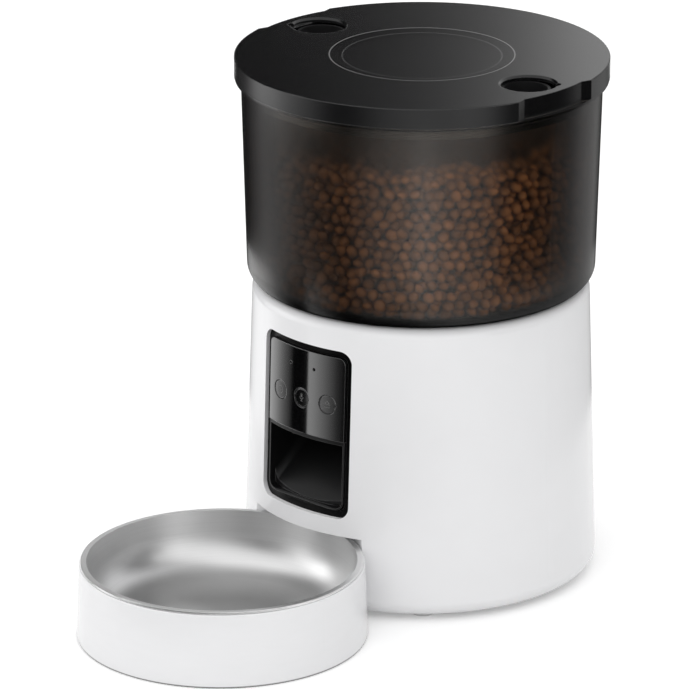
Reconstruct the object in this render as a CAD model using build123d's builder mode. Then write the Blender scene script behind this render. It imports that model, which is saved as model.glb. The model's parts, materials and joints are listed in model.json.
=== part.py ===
"""Automatic pet feeder: a smoked food tank with a black lid, a white base that doses and
drops the food down a front chute, and a steel bowl on a white tray that docks in the base.

Millimetres, +Z up, the chute faces -Y. The feeder stands on z = 0 with the origin under
the middle of its whole footprint, so the tank's own axis lies at y = feeder_y.
"""

from build123d import *

import os
from math import cos, degrees, radians, sin, sqrt, tan

os.makedirs("parts", exist_ok=True)

# ---------------------------------------------------------------- driving dimensions

# clearances
slide_gap = 0.3  # between pieces that move past each other
fit_gap = 0.2  # between pieces that are fastened together
shaft_gap = 0.08  # radial, round a turning shaft

# base housing
foot_h = 3.0
base_h = 160.0
base_inset = 2.7  # of the housing's top edge behind the tank's foot
base_draft = 5.2  # how much wider the housing's foot is than its top, on the radius
base_wall = 2.6
base_foot_round = 7.5
base_top_round = 5.5
mouth_inset = 9.9  # from the housing's foot to the opening that the floor closes

# window in the front of the housing
window_half_w = 31.9
window_drop = 15.1  # from the housing's top to the window
window_rise = 9.4  # from the docking bay's roof to the window
window_round = 7.0
frame_w = 4.0  # what shows of the frame all round the panel and the mouth
frame_t = 1.6
frame_flange = 3.0  # behind the housing's wall
panel_h = 46.3
panel_recess = 0.8
panel_t = 2.2
panel_wall = 1.4  # of the rim behind the panel
panel_flange = 1.0
panel_round = 3.8
lip_recess = 1.4  # of the chute's mouth, from the housing's outside
lip_wall = 0.8
lip_round = 4.8

# buttons, lamp and microphone
button_r = 5.2
button_inset = 10.3  # from the panel's side to the outer buttons' middle
button_drop = 27.0  # from the panel's top edge to the buttons
button_travel = 0.8
button_flange = 1.0
button_lip = 0.9
button_stand = 1.4  # from the switch to the back of the flange
flange_room = 0.65  # from the outer buttons' flanges to the panel
stem_r = 1.8
lamp_drop = 9.3  # from the panel's top edge to the lamp and microphone
lamp_pitch = 17.2
lamp_hole_r = 0.9
capsule_r = 3.0

# control board
board_inset = 4.2  # of the board's sides inside the panel's
board_h = 34.0
board_t = 1.6
board_drop = 1.5  # from the panel's top edge to the board's
board_screw_r = 0.9
board_head_r = 1.8
post_inset = 3.5  # from the board's edges to its upper screws
post_drop = 7.0  # from the buttons to the lower screws
post_r = 2.0
switch_size = 6.0
switch_h = 3.0

# bowl, tray and the bay that the tray docks in
dock_depth = 22.0  # how far the tray reaches under the housing's foot
tray_foot_r = 77.1
tray_draft = 1.5
tray_h = 40.1
tray_wall = 2.1
tray_floor_t = 2.4
tray_foot_h = 2.5
bowl_sheet = 0.8
bead_inset = 0.7  # of the bowl's rolled rim behind the tray's edge
bead_w = 3.3
bead_h = 1.4
bowl_taper = 2.7
bowl_depth = 31.3
bowl_round = 21.0
bay_gap = 0.6
bay_room = 3.5  # from the bowl's rim to the bay's roof
tongue_w = 24.0
tongue_h = 5.0
tongue_reach = 2.6

# food tank
tank_shoulder = 1.2  # of the tank outside its neck
tank_draft = 3.0
tank_h = 113.4
tank_round = 10.0
tank_wall = 2.4
rim_t = 1.3
rim_inset = 0.4  # of the tank's rim behind the lid's outside
neck_wall = 2.2
neck_room = 1.3  # from the neck's top to the lid's plate

# lid
lid_r = 100.0
lid_h = 10.9
lid_top_t = 2.6
skirt_wall = 2.4
lid_edge_round = 0.5
dish_r = 49.3
dish_floor_r = 41.4
dish_depth = 0.9
notch_depth = 3.1
notch_wall = 1.4
notch_half_angle = 13.0
notch_blend_angle = 3.5
seal_room = 1.5  # between the lid's spigot and the tank's neck
spigot_wall = 1.8
spigot_depth = 16.5  # below the top plate
lid_post_r = 66.0
finger_inset = 23.0  # from the lid's edge to the finger holes' middle
finger_r = 14.5
finger_bevel = 1.0
ear_r = 3.5
ear_angle = 38.0

# lid latches
latch_shift = 2.0  # from the finger hole's middle back to the cup's
cup_inset = 1.3  # of the cup's outside inside the finger hole
cup_wall = 1.6
cup_floor = 1.6
tongue_half_w = 12.0
latch_t = 2.8
latch_drop = 3.1  # from the top plate down to the latch's tongue
latch_bite = 1.9  # how far the latch's tip enters the tank's neck
spring_leaf = 0.6
spring_half_w = 10.0

# desiccant box under the lid
box_r = 43.0
box_wall = 2.0
liner_t = 2.2
cover_t = 2.0
cover_rim = 5.0
cover_slots = 16
cover_twist = 25.0  # degrees from locked to free
lug_count = 3
lug_reach = 1.1
lug_h = 1.6
lug_half_angle = 5.0
grip_h = 4.0

# dosing chamber and rotor
chamber_r = 57.6
chamber_wall = 2.0
chamber_depth = 42.8
chamber_floor_t = 2.4
chamber_flange = 2.3
chamber_step = 0.8  # ledge that the shield rests on
chamber_screw_reach = 4.8  # from the chamber's bore to its screws
hole_reach = 7.4  # from the chamber's bore to the hole in the housing's top
chamber_screw_angles = (30, 150, 210, 330)
key_w = 8.0
key_reach = 2.9
outlet_in_r = 20.0
outlet_inset = 1.6  # of the outlet's outer edge inside the bore
outlet_half_angle = 26.0
rotor_gap = 0.8  # between the paddles and the bore
hub_r = 12.0
paddle_count = 6
paddle_t = 2.0
paddle_h = 24.0
shield_t = 1.8
shield_half_angle = 66.0
stirrer_inset = 12.8  # of the stirrer's ends inside the paddles'
spindle_r = 9.6
socket_af = 14.6
socket_depth = 9.0

# well in the base that the dosing chamber hangs in
well_gap = 1.6  # between the chamber and the well
well_wall = 2.2
well_inset = 5.2  # of the well's flange inside the housing's flat top
well_floor_t = 2.2
well_screw_angles = (0, 60, 120, 180, 240, 300)
well_screw_hole_r = 1.4

# chute
chute_wall = 2.0
chute_behind = 2.0  # how far the chute starts behind the outlet
chute_ahead = 3.0  # how far it reaches in front of the outlet
chute_step = 3.2
sensor_inset = 19.7  # from the mouth back to the sensor
sensor_lens_r = 1.6

# gear train
addendum = 0.85  # in modules
dedendum = 1.15
tooth_share = 0.42  # of the tooth pitch, which leaves the backlash
flank_angle = 20.0
module_fine = 0.8
module_coarse = 1.0
pinion_teeth = 12
first_teeth = 40
second_teeth = 36
drive_teeth = 44
second_angle = 150.0  # direction from the drive gear to the second gear
first_angle = 180.0  # from the second gear to the first gear
motor_angle = 200.0  # from the first gear to the motor
wheel_t = 4.0
gear_play = 0.8  # between one gear layer and the next
axle_r = 1.5
shaft_r = 5.0
coupling_af = 14.0
case_wall = 2.0
case_ear_r = 5.0
ear_reach = 3.0  # from the case's wall to its screws
case_screw_r = 1.15
case_head_r = 2.6
wheel_room = 1.5  # from a gear's tips to the case
case_drop = 14.6  # from the well's floor down to the gearbox
motor_r = 12.0
motor_h = 30.0
motor_shaft_r = 1.0

# base floor and battery bay
floor_t = 3.0
cell_d = 34.2
cell_l = 61.0
cell_count = 3
bay_wall = 1.5
door_t = 2.0
hinge_pin_r = 1.0
knuckle_r = 1.8
knuckle_w = 5.0

# feet, screws and sockets
foot_r = 6.5
foot_inset = 15.9  # from the housing's foot to the feet's middle
foot_angles = (-45, -135, 35, 145)
screw_inset = 16.9  # from the housing's foot to the floor's screws
screw_angles = (0, 180, 75, 105, -62, -118)
screw_head_r = 3.0
screw_head_h = 1.5
screw_r = 1.4
screw_l = 8.0
boss_r = 4.0
boss_h = 20.0
jack_z = 17.0  # above the housing's lower edge
jack_r = 2.75
jack_pin_r = 1.0
jack_collar_r = 3.8
speaker_r = 14.0
speaker_h = 6.0
speaker_inset = 30.9  # from the housing's foot to the speaker's middle
speaker_angle = 215.0
grille_hole_r = 1.1

# ---------------------------------------------------------------- levels and places

# from the lid inwards and downwards, each piece follows the one that it fits
notch_r = lid_r - notch_depth
rim_r = lid_r - rim_inset
neck_r = notch_r - notch_wall - slide_gap
spigot_r = neck_r - neck_wall - seal_room
tank_r = neck_r + tank_shoulder
tank_foot_r = tank_r - tank_draft
base_top_r = tank_foot_r - base_inset
base_foot_r = base_top_r + base_draft
base_mouth_r = base_foot_r - mouth_inset
foot_ring_r = base_foot_r - foot_inset
screw_ring_r = base_foot_r - screw_inset
finger_x = lid_r - finger_inset
latch_x = finger_x - latch_shift
cup_r = finger_r - cup_inset

tray_rim_r = tray_foot_r - tray_draft
bead_r = tray_rim_r - bead_inset
bowl_offset = base_foot_r + tray_foot_r - dock_depth
feeder_y = (bowl_offset + tray_foot_r - lid_r) / 2
bowl_y = feeder_y - bowl_offset

# from the chamber's bore outwards to the well
tank_hole_r = chamber_r + hole_reach
chamber_screw_r = chamber_r + chamber_screw_reach
outlet_out_r = chamber_r - outlet_inset
rotor_r = chamber_r - rotor_gap
stirrer_reach = rotor_r - stirrer_inset
well_r = chamber_r + chamber_wall + chamber_step + well_gap
well_flange_r = base_top_r - base_top_round - well_inset
well_screw_r = (well_r + well_wall + well_flange_r) / 2
chute_back = outlet_in_r - chute_behind
chute_front = outlet_out_r + chute_ahead

base_z = foot_h
base_top = base_z + base_h
base_slope = (base_foot_r - base_top_r) / base_h
floor_top = base_z + floor_t

tank_z = base_top
rim_top = tank_z + tank_h
rim_bottom = rim_top - rim_t

lid_top = rim_top + lid_h
plate_z = lid_top - lid_top_t
neck_top = plate_z - neck_room
liner_z = plate_z - spigot_depth
liner_top = liner_z + liner_t
latch_z = plate_z - latch_drop - latch_t
latch_tip_r = neck_r - neck_wall + latch_bite
latch_reach = latch_tip_r - latch_x + 1
cup_z = liner_top + slide_gap + 0.1
lug_z = liner_z + cover_t + cover_rim - lug_h
lug_out_r = box_r - slide_gap + lug_reach
groove_r = lug_out_r + slide_gap
lug_angles = [360 * k / lug_count for k in range(lug_count)]

tray_floor_top = tray_foot_h + tray_floor_t
bead_top = tray_h + bead_h
bay_roof = bead_top + bay_room

window_z = bay_roof + window_rise
window_top = base_top - window_drop
window_h = window_top - window_z
window_mid = (window_z + window_top) / 2
panel_top = window_top - frame_w - fit_gap
panel_z = panel_top - panel_h
panel_half_w = window_half_w - frame_w - fit_gap
lip_z = window_z + frame_w + fit_gap
frame_depth = base_wall + fit_gap / 2
rim_depth = frame_depth + frame_t + 0.1
button_z = panel_top - button_drop
button_pitch = panel_half_w - button_inset
lamp_z = panel_top - lamp_drop
board_w = 2 * (panel_half_w - board_inset)

chamber_z = tank_z + fit_gap - chamber_depth
chamber_top = tank_z
rotor_z = chamber_z + chamber_floor_t + slide_gap + 0.1
shield_z = rotor_z + paddle_h + 0.7
well_top = base_top - base_wall
well_floor_top = chamber_z - 1.0
well_z = well_floor_top - well_floor_t

case_top = well_z - case_drop
train_h = 3 * wheel_t + 2 * gear_play + 2.2
case_z = case_top - train_h - 2 * case_wall
layer_1 = case_z + case_wall + 0.6
layer_2 = layer_1 + wheel_t + gear_play
layer_3 = layer_2 + wheel_t + gear_play

# the battery bay's back corners touch the floor's round edge
bay_len = cell_l + 1.5
bay_half_w = cell_count * cell_d / 2 + 0.2
bay_reach = sqrt((base_mouth_r - fit_gap) ** 2 - (bay_half_w + bay_wall) ** 2)
bay_y1 = feeder_y + bay_reach - bay_wall
bay_y0 = bay_y1 - bay_len
bay_top = floor_top + cell_d + 2.3

tongue_z = floor_top + slide_gap + tongue_h / 2

feeder_axis = Axis((0, feeder_y, 0), (0, 0, 1))
bowl_axis = Axis((0, bowl_y, 0), (0, 0, 1))
front_plane = Plane((0, feeder_y, 0), x_dir=(1, 0, 0), z_dir=(0, -1, 0))
bowl_plane = Plane((0, bowl_y, 0), x_dir=(1, 0, 0), z_dir=(0, -1, 0))
side_plane = Plane((0, feeder_y, 0), x_dir=(0, 1, 0), z_dir=(1, 0, 0))


def level(z):
    """Horizontal plane at height z, centred on the feeder's axis."""
    return Plane((0, feeder_y, z))


def ring_points(radius, angles):
    """Points at the given angles, in degrees from +X, on a circle round the feeder's axis."""
    return [(radius * cos(radians(a)), radius * sin(radians(a))) for a in angles]


def base_radius(z, depth=0.0):
    """Outside radius of the tapered housing at height z, less a depth into its wall."""
    return base_foot_r - (z - base_z) * base_slope - depth


def board_face():
    """Distance from the feeder's axis to the board's front, behind the outer buttons."""
    button_edge = button_pitch + button_r + button_lip
    panel_back = sqrt(base_radius(button_z, panel_recess + panel_t) ** 2 - button_edge**2)
    return panel_back - flange_room - button_flange - button_stand - switch_h


def polar(radius, angle):
    """Point at a radius and an angle in degrees from +X."""
    return (radius * cos(radians(angle)), radius * sin(radians(angle)))


def sector(r_in, r_out, half_angle, middle=-90.0):
    """Part of a ring between two radii, centred on the middle angle, in the current sketch."""
    low = middle - half_angle
    high = middle + half_angle
    with BuildLine() as outline:
        ThreePointArc(polar(r_out, low), polar(r_out, middle), polar(r_out, high))
        Line(polar(r_out, high), polar(r_in, high))
        ThreePointArc(polar(r_in, high), polar(r_in, middle), polar(r_in, low))
        Line(polar(r_in, low), polar(r_out, low))
    make_face(outline.edges())


def cone_core(depth, z_low, z_high):
    """Solid cone that follows the housing's outside at a depth into its wall."""
    with BuildPart() as core:
        with BuildSketch(front_plane):
            Polygon(
                (0, z_low),
                (base_radius(z_low, depth), z_low),
                (base_radius(z_high, depth), z_high),
                (0, z_high),
                align=None,
            )
        revolve(axis=feeder_axis)
    return core.part


def front_plate(depth, thickness, half_w, z_low, z_high, corner):
    """Curved plate that follows the housing, with a rounded-rectangle outline from the front."""
    with BuildPart() as plate:
        with BuildSketch(front_plane):
            Polygon(
                (base_radius(z_low, depth + thickness), z_low),
                (base_radius(z_low, depth), z_low),
                (base_radius(z_high, depth), z_high),
                (base_radius(z_high, depth + thickness), z_high),
                align=None,
            )
        revolve(axis=feeder_axis)
        with BuildSketch(front_plane):
            with Locations((0, (z_low + z_high) / 2)):
                RectangleRounded(2 * half_w, z_high - z_low, corner)
        extrude(amount=2 * base_foot_r, mode=Mode.INTERSECT)
    return plate.part


def tray_radius(z):
    """Outside radius of the tapered tray at height z."""
    return tray_foot_r - z * (tray_foot_r - tray_rim_r) / tray_h


def bay_core(margin, z_low, z_high):
    """Cone that follows the tray's outside at a margin, for the docking bay."""
    with BuildPart() as core:
        with BuildSketch(bowl_plane):
            Polygon(
                (0, z_low),
                (tray_radius(z_low) + margin, z_low),
                (tray_radius(z_high) + margin, z_high),
                (0, z_high),
                align=None,
            )
        revolve(axis=bowl_axis)
    return core.part


def gear_outline(teeth, module, phase):
    """Straight-flanked gear in the current sketch, one tooth centred on the phase angle."""
    pitch_r = module * teeth / 2
    tip_r = pitch_r + addendum * module
    root_r = pitch_r - dedendum * module
    half_tooth = tooth_share * 180 / teeth
    tip_half = half_tooth - degrees((tip_r - pitch_r) * tan(radians(flank_angle)) / tip_r)
    root_half = half_tooth + degrees((pitch_r - root_r) * tan(radians(flank_angle)) / root_r)
    corners = []
    for k in range(teeth):
        middle = phase + 360 * k / teeth
        corners.append(polar(root_r, middle - root_half))
        corners.append(polar(tip_r, middle - tip_half))
        corners.append(polar(tip_r, middle + tip_half))
        corners.append(polar(root_r, middle + root_half))
    Polygon(*corners, align=None)


board_depth = board_face()

# ---------------------------------------------------------------- base housing

# the space inside the housing, less the bay's wall and the screw bosses
with BuildPart() as housing_space:
    with BuildSketch(front_plane):
        Polygon(
            (0, base_z - 1),
            (base_mouth_r, base_z - 1),
            (base_mouth_r, floor_top),
            (base_radius(base_z + 10, base_wall), base_z + 10),
            (base_radius(base_top - base_top_round, base_wall), base_top - base_top_round),
            (base_radius(base_top, base_top_round), base_top - base_wall),
            (0, base_top - base_wall),
            align=None,
        )
    revolve(axis=feeder_axis)
    add(bay_core(bay_gap + base_wall, base_z - 2, bay_roof + base_wall), mode=Mode.SUBTRACT)
    with BuildSketch(level(floor_top)):
        for angle in screw_angles:
            with Locations(polar(screw_ring_r, angle)):
                Circle(boss_r)
            with Locations(polar(screw_ring_r + boss_r + 3, angle)):
                Rectangle(2 * boss_r + 6, 2.0, rotation=angle)
    extrude(amount=boss_h, mode=Mode.SUBTRACT)

with BuildPart() as base_housing:
    with BuildSketch(front_plane):
        Polygon(
            (0, base_z), (base_foot_r, base_z), (base_top_r, base_top), (0, base_top), align=None
        )
    revolve(axis=feeder_axis)
    rims = base_housing.edges().filter_by(GeomType.CIRCLE).sort_by(Axis.Z)
    fillet(rims[0], base_foot_round)
    rims = base_housing.edges().filter_by(GeomType.CIRCLE).sort_by(Axis.Z)
    fillet(rims[-1], base_top_round)
    add(housing_space.part, mode=Mode.SUBTRACT)
    # docking bay for the tray, with the slot that takes the tray's tongue
    add(bay_core(bay_gap, base_z - 1, bay_roof), mode=Mode.SUBTRACT)
    with BuildSketch(bowl_plane.offset(-(tray_foot_r - tray_wall))):
        with Locations((0, tongue_z)):
            Rectangle(tongue_w + 2 * slide_gap, tongue_h + 2 * slide_gap)
    extrude(amount=-10, mode=Mode.SUBTRACT)
    # opening in the top, with the slot that keys the dosing chamber
    with BuildSketch(level(base_top - base_wall - 1)):
        Circle(tank_hole_r)
        with Locations((0, tank_hole_r)):
            Rectangle(key_w + 2 * slide_gap, 2 * (key_reach + slide_gap))
    extrude(amount=base_wall + 2, mode=Mode.SUBTRACT)
    # blind holes in the top plate for the well's screws
    with BuildSketch(level(base_top - base_wall)):
        with Locations(ring_points(well_screw_r, well_screw_angles)):
            Circle(well_screw_hole_r - 0.1)
    extrude(amount=base_wall - 0.6, mode=Mode.SUBTRACT)
    # window for the panel and the chute
    with BuildSketch(front_plane):
        with Locations((0, window_mid)):
            RectangleRounded(2 * window_half_w, window_h, window_round)
    extrude(amount=2 * base_foot_r, mode=Mode.SUBTRACT)
    # pilot holes for the floor screws, and the power inlet's hole at the back
    with BuildSketch(level(floor_top)):
        with Locations(ring_points(screw_ring_r, screw_angles)):
            Circle(screw_r)
    extrude(amount=boss_h - 4, mode=Mode.SUBTRACT)
    with BuildSketch(front_plane):
        with Locations((0, base_z + jack_z)):
            Circle(jack_collar_r + fit_gap)
    extrude(amount=-2 * base_foot_r, mode=Mode.SUBTRACT)

# ---------------------------------------------------------------- base floor, screws, feet

bay_mid_y = (bay_y0 + bay_y1) / 2
bay_plane_y = bay_mid_y - feeder_y
speaker_place = polar(base_foot_r - speaker_inset, speaker_angle)
hinge_y = bay_y1 - knuckle_r - slide_gap
hinge_z = base_z + knuckle_r

with BuildPart() as base_floor:
    with BuildSketch(level(base_z)):
        Circle(base_mouth_r - fit_gap)
    extrude(amount=floor_t)
    add(
        bay_core(bay_gap + base_wall + fit_gap, base_z - 1, floor_top + 1), mode=Mode.SUBTRACT
    )
    # battery bay, open downwards
    with BuildSketch(level(base_z)):
        with Locations((0, bay_plane_y)):
            RectangleRounded(2 * (bay_half_w + bay_wall), bay_len + 2 * bay_wall, 4)
    extrude(amount=bay_top + bay_wall - base_z)
    with BuildSketch(level(base_z)):
        with Locations((0, bay_plane_y)):
            RectangleRounded(2 * bay_half_w, bay_len, 0.6)
    extrude(amount=bay_top - base_z, mode=Mode.SUBTRACT)
    # hinge pin holes through the bay's side walls
    with BuildSketch(Plane.YZ):
        with Locations((hinge_y, hinge_z)):
            Circle(hinge_pin_r + shaft_gap)
    extrude(amount=bay_half_w + bay_wall + 1, both=True, mode=Mode.SUBTRACT)
    # screw holes with counterbores, speaker holes
    with BuildSketch(level(base_z)):
        with Locations(ring_points(screw_ring_r, screw_angles)):
            Circle(screw_r + fit_gap)
        with Locations(speaker_place):
            Circle(grille_hole_r)
            with PolarLocations(6, 6):
                Circle(grille_hole_r)
    extrude(amount=floor_t, mode=Mode.SUBTRACT)
    with BuildSketch(level(base_z)):
        with Locations(ring_points(screw_ring_r, screw_angles)):
            Circle(screw_head_r + fit_gap)
    extrude(amount=screw_head_h + 0.2, mode=Mode.SUBTRACT)

with BuildPart() as base_screws:
    with BuildSketch(level(base_z + 0.2)):
        with Locations(ring_points(screw_ring_r, screw_angles)):
            Circle(screw_head_r)
    extrude(amount=screw_head_h)
    with BuildSketch(level(base_z + 0.2)):
        with Locations(ring_points(screw_ring_r, screw_angles)):
            Circle(screw_r - 0.05)
    extrude(amount=screw_head_h + screw_l)

with BuildPart() as rubber_feet:
    with BuildSketch(level(0)):
        with Locations(ring_points(foot_ring_r, foot_angles)):
            Circle(foot_r)
    extrude(amount=foot_h)
    chamfer(rubber_feet.faces().filter_by(Axis.Z).group_by(Axis.Z)[0].edges(), 0.8)

# ---------------------------------------------------------------- battery door and contacts

with BuildPart() as battery_door:
    with BuildSketch(Plane.XY.offset(base_z)):
        with Locations((0, (bay_y0 + hinge_y + 1) / 2)):
            RectangleRounded(
                2 * (bay_half_w - slide_gap), hinge_y + 1 - bay_y0 - 2 * slide_gap, 1.4
            )
    extrude(amount=door_t)
    # snap tab at the front edge
    with BuildSketch(Plane.XY.offset(base_z + door_t)):
        with Locations((0, bay_y0 + slide_gap + 1.0)):
            Rectangle(14, 1.4)
    extrude(amount=6)
    # thumb recess beside the tab
    with BuildSketch(Plane.XY.offset(base_z)):
        with Locations((0, bay_y0 + 7)):
            SlotOverall(16, 5)
    extrude(amount=0.8, mode=Mode.SUBTRACT)
    # hinge knuckles and pins at both ends of the back edge
    for side in (-1, 1):
        with BuildSketch(Plane.YZ.offset(side * (bay_half_w - 2 * slide_gap))):
            with Locations((hinge_y, hinge_z)):
                Circle(knuckle_r)
        extrude(amount=-side * knuckle_w)
        with BuildSketch(Plane.YZ.offset(side * (bay_half_w - slide_gap - 1))):
            with Locations((hinge_y, hinge_z)):
                Circle(hinge_pin_r)
        extrude(amount=side * (bay_wall + slide_gap + 0.8))

with BuildPart() as battery_contacts:
    for k in range(cell_count):
        cell_x = (k - (cell_count - 1) / 2) * cell_d
        cell_z = floor_top + cell_d / 2
        for end_y, inward in ((bay_y0, 1), (bay_y1, -1)):
            with BuildSketch(Plane((cell_x, end_y, cell_z), x_dir=(1, 0, 0), z_dir=(0, inward, 0))):
                Rectangle(14, 12)
            extrude(amount=0.5)
        with BuildSketch(Plane((cell_x, bay_y0, cell_z), x_dir=(1, 0, 0), z_dir=(0, 1, 0))):
            Circle(5)
        extrude(amount=1.0, taper=20)

# ---------------------------------------------------------------- window frame and panel

frame_plate = front_plate(
    frame_depth,
    frame_t,
    window_half_w + frame_flange,
    window_z - frame_flange,
    window_top + frame_flange,
    window_round + frame_flange,
)

with BuildPart() as window_frame:
    add(frame_plate)
    with BuildSketch(front_plane):
        with Locations((0, window_mid)):
            RectangleRounded(
                2 * (window_half_w - frame_w), window_h - 2 * frame_w, panel_round + fit_gap
            )
    extrude(amount=2 * base_foot_r, mode=Mode.SUBTRACT)

panel_rim = front_plate(
    panel_recess,
    rim_depth + panel_flange - panel_recess,
    panel_half_w,
    panel_z - panel_round,
    panel_top,
    panel_round,
)
panel_hollow = front_plate(
    panel_recess + panel_t,
    rim_depth + panel_flange,
    panel_half_w - panel_wall,
    panel_z + panel_wall,
    panel_top - panel_wall,
    panel_round - panel_wall,
)
panel_hold = front_plate(
    rim_depth,
    panel_flange,
    panel_half_w + 1.5,
    panel_z - panel_round,
    panel_top + 1.5,
    panel_round,
)
board_posts = []
for side in (-1, 1):
    board_posts.append((side * (board_w / 2 - post_inset), panel_top - board_drop - post_inset))
    board_posts.append((side * button_pitch / 2, button_z - post_drop))

with BuildPart() as control_panel:
    add(panel_rim)
    add(panel_hold)
    add(panel_hollow, mode=Mode.SUBTRACT)
    # posts that carry the board
    with BuildSketch(front_plane.offset(board_depth)):
        with Locations(board_posts):
            Circle(post_r)
    extrude(amount=base_foot_r - board_depth)
    add(cone_core(panel_recess, panel_z, panel_top + 2), mode=Mode.INTERSECT)
    # pilot holes for the board's screws
    with BuildSketch(front_plane.offset(board_depth)):
        with Locations(board_posts):
            Circle(board_screw_r)
    extrude(amount=5, mode=Mode.SUBTRACT)
    with BuildSketch(front_plane):
        for k in (-1, 0, 1):
            with Locations((k * button_pitch, button_z)):
                Circle(button_r + fit_gap)
        for k in (-1, 1):
            with Locations((k * lamp_pitch / 2, lamp_z)):
                Circle(lamp_hole_r)
    extrude(amount=2 * base_foot_r, mode=Mode.SUBTRACT)


def push_button(column):
    """Round button in the panel, with the flange that holds it in and the stem behind it."""
    flange_back = board_depth + switch_h + button_stand
    place = (column * button_pitch, button_z)
    with BuildPart() as button:
        with BuildSketch(front_plane.offset(flange_back)):
            with Locations(place):
                Circle(button_r)
        extrude(amount=base_foot_r - flange_back)
        add(cone_core(panel_recess + 0.15, panel_z, panel_top), mode=Mode.INTERSECT)
        with BuildSketch(front_plane.offset(flange_back)):
            with Locations(place):
                Circle(button_r + button_lip)
        extrude(amount=button_flange)
        with BuildSketch(front_plane.offset(flange_back)):
            with Locations(place):
                Circle(stem_r)
        extrude(amount=-(button_stand - button_travel - 0.15))
    return button


mode_button = push_button(-1)
record_button = push_button(0)
feed_button = push_button(1)

# ---------------------------------------------------------------- control board

board_top = panel_top - board_drop
board_mid = board_top - board_h / 2
lamp_place = (-lamp_pitch / 2, lamp_z)
capsule_place = (lamp_pitch / 2, lamp_z)
button_places = [(k * button_pitch, button_z) for k in (-1, 0, 1)]

with BuildPart() as control_board:
    with BuildSketch(front_plane.offset(board_depth - board_t)):
        with Locations((0, board_mid)):
            RectangleRounded(board_w, board_h, 1.5)
        with Locations(board_posts):
            Circle(board_screw_r + fit_gap, mode=Mode.SUBTRACT)
    extrude(amount=board_t)

with BuildPart() as tact_switches:
    with BuildSketch(front_plane.offset(board_depth)):
        with Locations(button_places):
            RectangleRounded(switch_size, switch_size, 0.5)
    extrude(amount=switch_h - 0.8)
    with BuildSketch(front_plane.offset(board_depth)):
        with Locations(button_places):
            Circle(stem_r)
    extrude(amount=switch_h)

with BuildPart() as board_screws:
    with BuildSketch(front_plane.offset(board_depth - board_t)):
        with Locations(board_posts):
            Circle(board_head_r)
    extrude(amount=-1.2)
    with BuildSketch(front_plane.offset(board_depth - board_t)):
        with Locations(board_posts):
            Circle(board_screw_r - 0.05)
    extrude(amount=board_t + 4)

with BuildPart() as status_lamp:
    with BuildSketch(front_plane.offset(board_depth)):
        with Locations(lamp_place):
            Circle(lamp_hole_r - 0.1)
    extrude(amount=base_foot_r - board_depth)
    add(cone_core(panel_recess + 0.2, panel_z, panel_top), mode=Mode.INTERSECT)
    with BuildSketch(front_plane.offset(board_depth)):
        with Locations(lamp_place):
            Rectangle(3, 3)
    extrude(amount=1.6)

with BuildPart() as microphone:
    with BuildSketch(front_plane.offset(board_depth)):
        with Locations(capsule_place):
            Circle(capsule_r)
    extrude(amount=2.2)

with BuildPart() as microphone_boot:
    with BuildSketch(front_plane.offset(board_depth + 2.2)):
        with Locations(capsule_place):
            Circle(capsule_r + 0.4)
            Circle(lamp_hole_r, mode=Mode.SUBTRACT)
    extrude(amount=base_foot_r - board_depth)
    add(cone_core(panel_recess + panel_t + fit_gap, panel_z, panel_top), mode=Mode.INTERSECT)

# ---------------------------------------------------------------- chute and its food sensor

chute_half_w = panel_half_w - lip_wall
mouth_floor = lip_z + lip_wall
mouth_roof = panel_z - chute_wall - fit_gap
mouth_y = base_radius(mouth_floor, rim_depth)
ramp_top = well_z - chute_step
ramp_slope = (ramp_top - mouth_floor) / (mouth_y - chute_back)
chute_roof_turn = board_depth + 1  # where the roof starts to rise, in front of the board
far_y = base_foot_r
sensor_y = mouth_y - sensor_inset
sensor_z = mouth_floor + (mouth_y - sensor_y) * ramp_slope + 11

chute_inside = (
    (-chute_back, well_z + 1),
    (-chute_back, ramp_top),
    (-far_y, mouth_floor - (far_y - mouth_y) * ramp_slope),
    (-far_y, mouth_roof),
    (-chute_roof_turn, mouth_roof),
    (-chute_front, well_z - 5),
    (-chute_front, well_z + 1),
)

# the space that the food slides through, rounded along both sides of the ramp
with BuildPart() as chute_space:
    with BuildSketch(side_plane):
        Polygon(*chute_inside, align=None)
    extrude(amount=chute_half_w, both=True)
    fillet(chute_space.edges().sort_by(SortBy.LENGTH)[-2:], lip_round - lip_wall)

# the lip reaches through the frame, level along its lower edge
chute_lip = front_plate(
    lip_recess,
    rim_depth + 1 - lip_recess,
    panel_half_w,
    lip_z,
    panel_z + lip_round,
    lip_round,
)
mouth_space = front_plate(
    lip_recess - 1,
    rim_depth + 2 - lip_recess,
    chute_half_w,
    mouth_floor,
    mouth_roof,
    lip_round - lip_wall,
)

# the sleeve round that space, behind the frame
with BuildPart() as chute_sleeve:
    with BuildSketch(side_plane):
        Polygon(*chute_inside, align=None)
        offset(amount=chute_wall, kind=Kind.INTERSECTION)
    extrude(amount=chute_half_w + chute_wall, both=True)
    add(cone_core(rim_depth, window_z, well_z), mode=Mode.INTERSECT)

with BuildPart() as chute:
    add(chute_lip)
    add(cone_core(lip_recess, lip_z, panel_z - fit_gap), mode=Mode.INTERSECT)
    add(chute_sleeve.part)
    add(chute_space.part, mode=Mode.SUBTRACT)
    add(mouth_space, mode=Mode.SUBTRACT)
    with BuildSketch(side_plane):
        with Locations((-sensor_y, sensor_z)):
            Circle(sensor_lens_r + 0.1)
    extrude(amount=chute_half_w + chute_wall + 1, both=True, mode=Mode.SUBTRACT)

with BuildPart() as feed_sensors:
    for side in (-1, 1):
        outside = side_plane.offset(side * (chute_half_w + chute_wall))
        with BuildSketch(outside):
            with Locations((-sensor_y, sensor_z)):
                Rectangle(9, 10)
        extrude(amount=side * 3)
        with BuildSketch(outside):
            with Locations((-sensor_y, sensor_z)):
                Circle(sensor_lens_r)
        extrude(amount=-side * (chute_wall - 0.3))

# ---------------------------------------------------------------- food tank

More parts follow.
